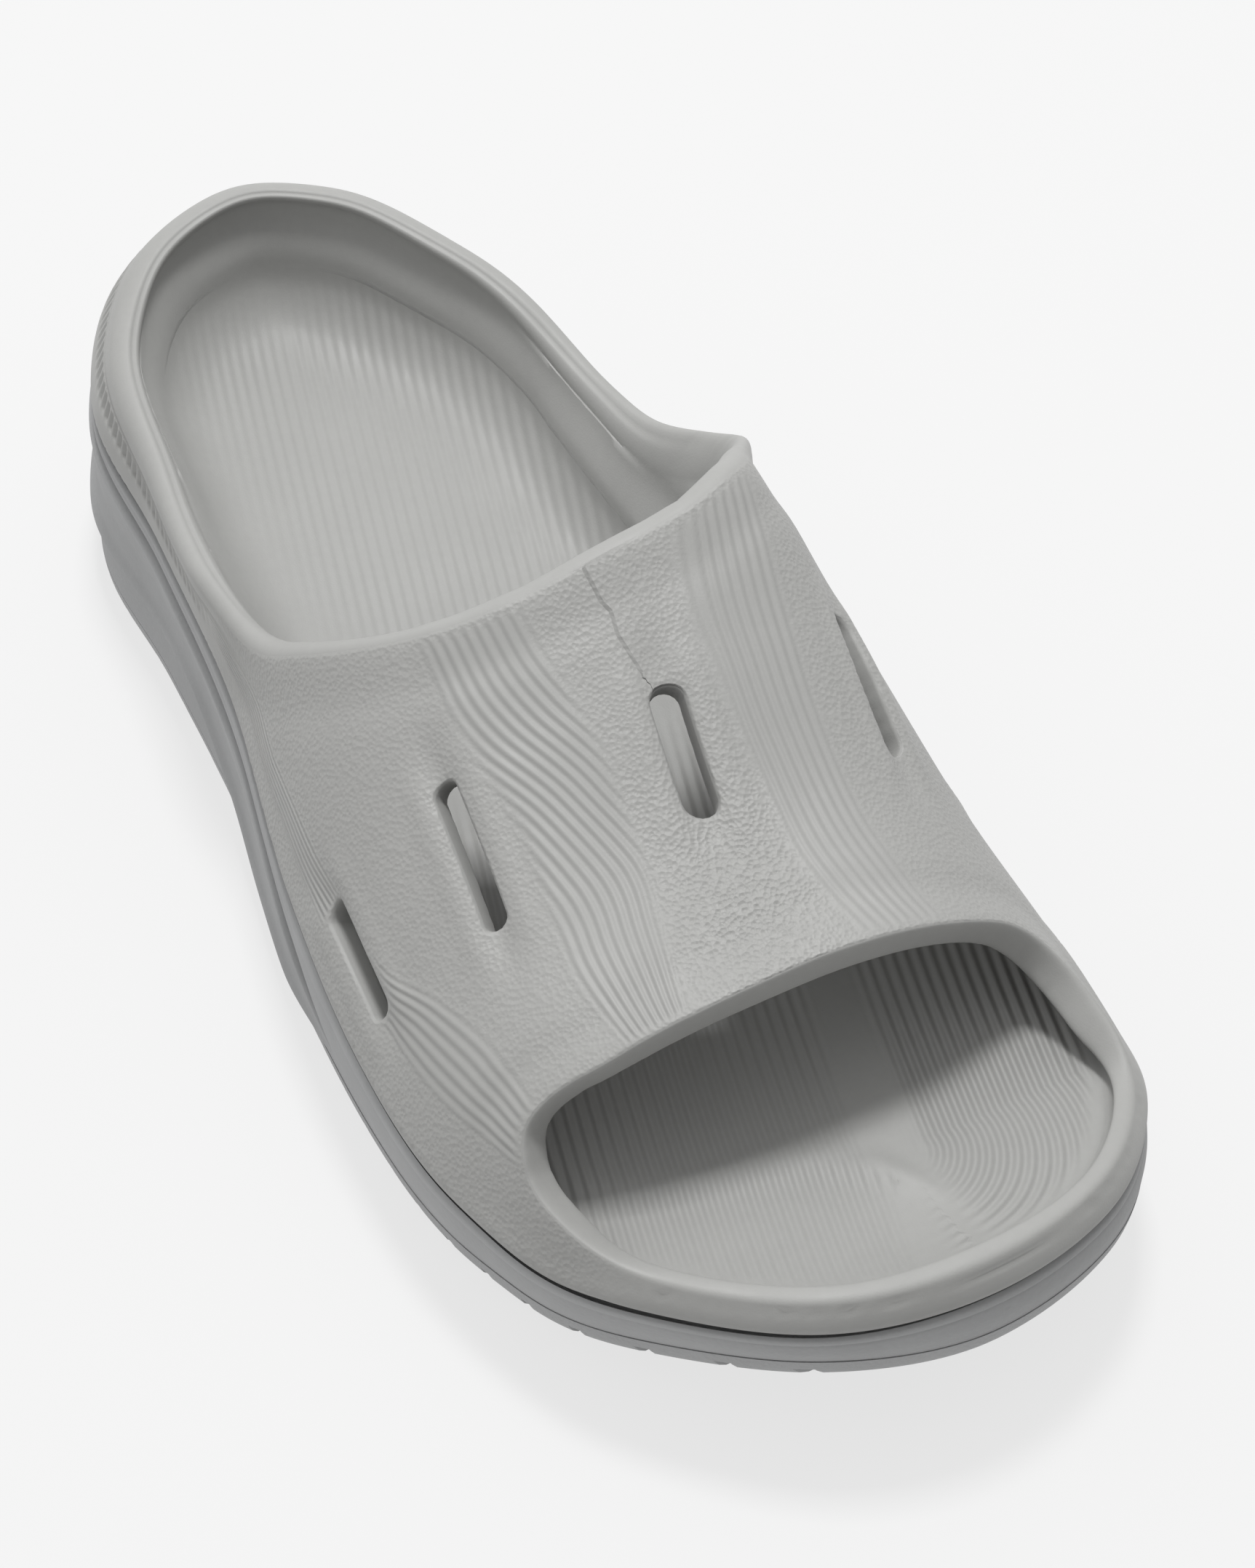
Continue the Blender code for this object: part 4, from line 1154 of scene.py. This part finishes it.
class UpperValues(bpy.types.PropertyGroup):
    around_steps: count("Steps round", 600, "Points round the seam line")
    floor_rings: count("Footbed rings", 34, "Rings of points on the footbed")
    outer_grid: size("Outer grid", 0.0011, "Point spacing of the outer skin")
    inner_grid: size("Inner grid", 0.0022, "Point spacing of the inner skin")
    edge_step: size("Edge step", 0.0011, "Point spacing along the openings")
    rib_depth: size("Rib depth", 0.0009, "Depth between the upright heel ribs")
    rib_pitch: size("Rib pitch", 0.0027, "Distance between the upright heel ribs")
    rim_line_depth: size("Rim line depth", 0.0004, "Depth of the line under the rim")
    valley_depth: size("Valley depth", 0.0010, "Depth of the valleys past the slots")
    crest_height: size("Toe crest", 0.0008, "Height of the crest under the toes")
    fillet: size("Fillet", 0.0100, "Width of the soft corner round the footbed")
    pore_depth: size("Pore depth", 0.00003, "Depth of the foam pores")
    pebble_depth: size("Pebble depth", 0.00045, "Depth of the pebbled grain")
    line_depth: size("Line depth", 0.00012, "Half height of the flowing lines")
    panel_step: size("Panel step", 0.00042, "Height of the zigzag panel edge")
    roughness: share("Roughness", 0.56, "Mean roughness of the upper foam")
    colour: paint("Colour", (0.306, 0.306, 0.297), "Colour of the upper foam")


class MidsoleValues(bpy.types.PropertyGroup):
    around_steps: count("Steps round", 600, "Points round the side")
    seam_gap: size("Seam gap", 0.0013, "Extra shadow gap under the upper")
    step_depth: share("Step depth", 1.35, "Strength of the swept steps")
    roughness: share("Roughness", 0.64, "Mean roughness of the midsole foam")
    colour: paint("Colour", (0.325, 0.328, 0.330), "Colour of the midsole foam")


class TreadValues(bpy.types.PropertyGroup):
    around_steps: count("Steps round", 480, "Points round the tread edge")
    groove_width: size("Groove width", 0.0022, "Width of the grooves")
    roughness: share("Roughness", 0.74, "Mean roughness of the tread")
    colour: paint("Colour", (0.350, 0.353, 0.355), "Colour of the tread")


class StageValues(bpy.types.PropertyGroup):
    floor_size: size("Floor size", 5.0, "Width of the pale floor")
    floor_colour: paint("Floor colour", (0.15, 0.15, 0.15), "How much of the studio light the floor gives back")
    floor_glow: share("Floor glow", 0.70, "Even glow of the lit white table")
    sky: number("Sky strength", 0.66, "Strength of the even studio light")
    sky_back: number("Sky from behind", 0.34, "How much brighter the light is from behind the heel")
    key: number("Key power", 14.0, "Power of the large soft light", unit="POWER")
    fill: number("Fill power", 1.0, "Power of the low front light", unit="POWER")
    lens: number("Lens", 99.13, "Focal length of the camera in millimetres")
    camera_place: bpy.props.FloatVectorProperty(
        name="Camera place", description="Place of the camera", default=(-0.20235, -0.38917, 0.51438),
        subtype="TRANSLATION")
    camera_turn: bpy.props.FloatVectorProperty(
        name="Camera turn", description="Turn of the camera in degrees", default=(41.42832, -1.43835, -28.0562))


class SLIDE_OT_upper(bpy.types.Operator):
    """Build the strap shell with its footbed"""
    bl_idname = "slide.upper"
    bl_label = "Strap shell"

    def execute(self, context):
        values = context.scene.slide_upper
        points, faces, readings = upper_mesh(values)
        piece = new_piece("strap_shell", points, faces, 60)
        for name, reading in readings.items():
            point_values(piece, name, reading)
        piece.data.materials.append(upper_foam(values))
        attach(piece, "root")
        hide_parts("upper")
        return {"FINISHED"}


class SLIDE_OT_midsole(bpy.types.Operator):
    """Build the foam midsole with its swept side"""
    bl_idname = "slide.midsole"
    bl_label = "Midsole"

    def execute(self, context):
        values = context.scene.slide_midsole
        points, faces = midsole_mesh(values)
        piece = new_piece("foam_midsole", points, faces, 50)
        piece.data.materials.append(sole_foam("midsole_foam", values, 0.00004, 0.00005))
        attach(piece, "root")
        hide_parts("midsole")
        return {"FINISHED"}


class SLIDE_OT_tread(bpy.types.Operator):
    """Build the tread sheet and cut its grooves"""
    bl_idname = "slide.tread"
    bl_label = "Tread"

    def execute(self, context):
        values = context.scene.slide_tread
        points, faces = tread_mesh(values)
        piece = new_piece("tread_sheet", points, faces, 35)
        cutter = groove_cutter(values.groove_width)
        tool = piece.modifiers.new("grooves", "BOOLEAN")
        tool.operation = "DIFFERENCE"
        tool.solver = "EXACT"
        tool.use_self = True
        tool.object = cutter
        ready = piece.evaluated_get(context.evaluated_depsgraph_get())
        cut = bpy.data.meshes.new_from_object(ready)
        piece.modifiers.clear()
        piece.data = cut
        bpy.data.objects.remove(cutter, do_unlink=True)
        if len(cut.polygons) == 0:
            raise RuntimeError("The grooves removed the whole tread")
        cut.materials.clear()
        cut.materials.append(sole_foam("tread_rubber", values, 0.00007, 0.00012))
        cut.shade_smooth()
        cut.set_sharp_from_angle(angle=math.radians(35))
        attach(piece, "root")
        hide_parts("outsole")
        return {"FINISHED"}


class SLIDE_OT_stage(bpy.types.Operator):
    """Set the pale floor, the soft lights and the camera"""
    bl_idname = "slide.stage"
    bl_label = "Stage"

    def execute(self, context):
        values = context.scene.slide_stage
        scene = context.scene
        half = values.floor_size / 2
        mesh = bpy.data.meshes.new("studio_floor")
        corners = [(-half, -half, 0), (half, -half, 0), (half, half, 0), (-half, half, 0)]
        mesh.from_pydata(corners, [], [(0, 1, 2, 3)])
        floor = placed("studio_floor", mesh)
        material = bpy.data.materials.new("studio_floor")
        make = NodeMaker(material)
        make.colour(make.noise(2.0, 2), values.floor_colour, 0.995, 1.0)
        feed(make.shader, {
            "Roughness": 0.9, "Specular IOR Level": 0.1, "Emission Color": (1.0, 1.0, 1.0, 1.0),
            "Emission Strength": values.floor_glow})
        mesh.materials.append(material)
        world = bpy.data.worlds.new("studio")
        world.use_nodes = True
        tree = world.node_tree
        place, split, back, lift = (
            tree.nodes.new("ShaderNode" + kind) for kind in ("TexCoord", "SeparateXYZ", "Math", "MapRange"))
        back.operation = "MULTIPLY_ADD"
        back.inputs[1].default_value = values.sky_back
        feed(lift, {
            "From Min": -0.1, "From Max": 1.0, "To Min": values.sky * 0.62, "To Max": values.sky * 1.35})
        for source, target in (
            (place.outputs["Generated"], split.inputs[0]), (split.outputs["Z"], lift.inputs["Value"]),
            (split.outputs["Y"], back.inputs[0]), (lift.outputs["Result"], back.inputs[2]),
            (back.outputs[0], tree.nodes["Background"].inputs["Strength"]),
        ):
            tree.links.new(source, target)
        feed(tree.nodes["Background"], {"Color": (1.0, 1.0, 1.0, 1.0)})
        scene.world = world
        soft_light("key_light", (0.14, 0.32, 1.36), values.key, 0.26)
        soft_light("fill_light", (-1.1, -0.9, 0.9), values.fill, 1.2)
        camera = placed("photo_camera", bpy.data.cameras.new("photo_camera"))
        camera.data.sensor_fit = "HORIZONTAL"
        camera.data.sensor_width = 36.0
        camera.data.lens = values.lens
        camera.data.clip_start = 0.01
        camera.location = values.camera_place
        camera.rotation_euler = Euler([math.radians(a) for a in values.camera_turn])
        scene.camera = camera
        scene.view_settings.view_transform = "Standard"
        return {"FINISHED"}


def soft_light(name, place, power, width):
    """Square soft light that looks at the middle of the shoe."""
    light = bpy.data.lights.new(name, "AREA")
    light.energy = power
    light.size = width
    item = placed(name, light)
    item.location = place
    item.rotation_euler = (Vector((0, 0, 0.03)) - Vector(place)).to_track_quat("-Z", "Y").to_euler()


class SLIDE_PT_build(bpy.types.Panel):
    """Buttons and values of the slide sandal"""
    bl_idname = "SLIDE_PT_build"
    bl_label = "Slide sandal"
    bl_space_type = "VIEW_3D"
    bl_region_type = "UI"
    bl_category = "Slide"

    def draw(self, context):
        for key in GROUPS:
            box = self.layout.box()
            box.operator("slide." + key)
            values = getattr(context.scene, "slide_" + key)
            for name in values.__annotations__:
                box.prop(values, name)


GROUPS = {"upper": UpperValues, "midsole": MidsoleValues, "tread": TreadValues, "stage": StageValues}
CLASSES = (*GROUPS.values(), SLIDE_OT_upper, SLIDE_OT_midsole, SLIDE_OT_tread, SLIDE_OT_stage, SLIDE_PT_build)


def register():
    for item in CLASSES:
        bpy.utils.register_class(item)
    for key, group in GROUPS.items():
        setattr(bpy.types.Scene, "slide_" + key, bpy.props.PointerProperty(type=group))


def unregister():
    for key in GROUPS:
        delattr(bpy.types.Scene, "slide_" + key)
    for item in reversed(CLASSES):
        bpy.utils.unregister_class(item)


def main():
    register()
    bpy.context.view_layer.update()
    bpy.ops.slide.upper()
    bpy.ops.slide.midsole()
    bpy.ops.slide.tread()
    bpy.ops.slide.stage()


if __name__ == "__main__":
    main()
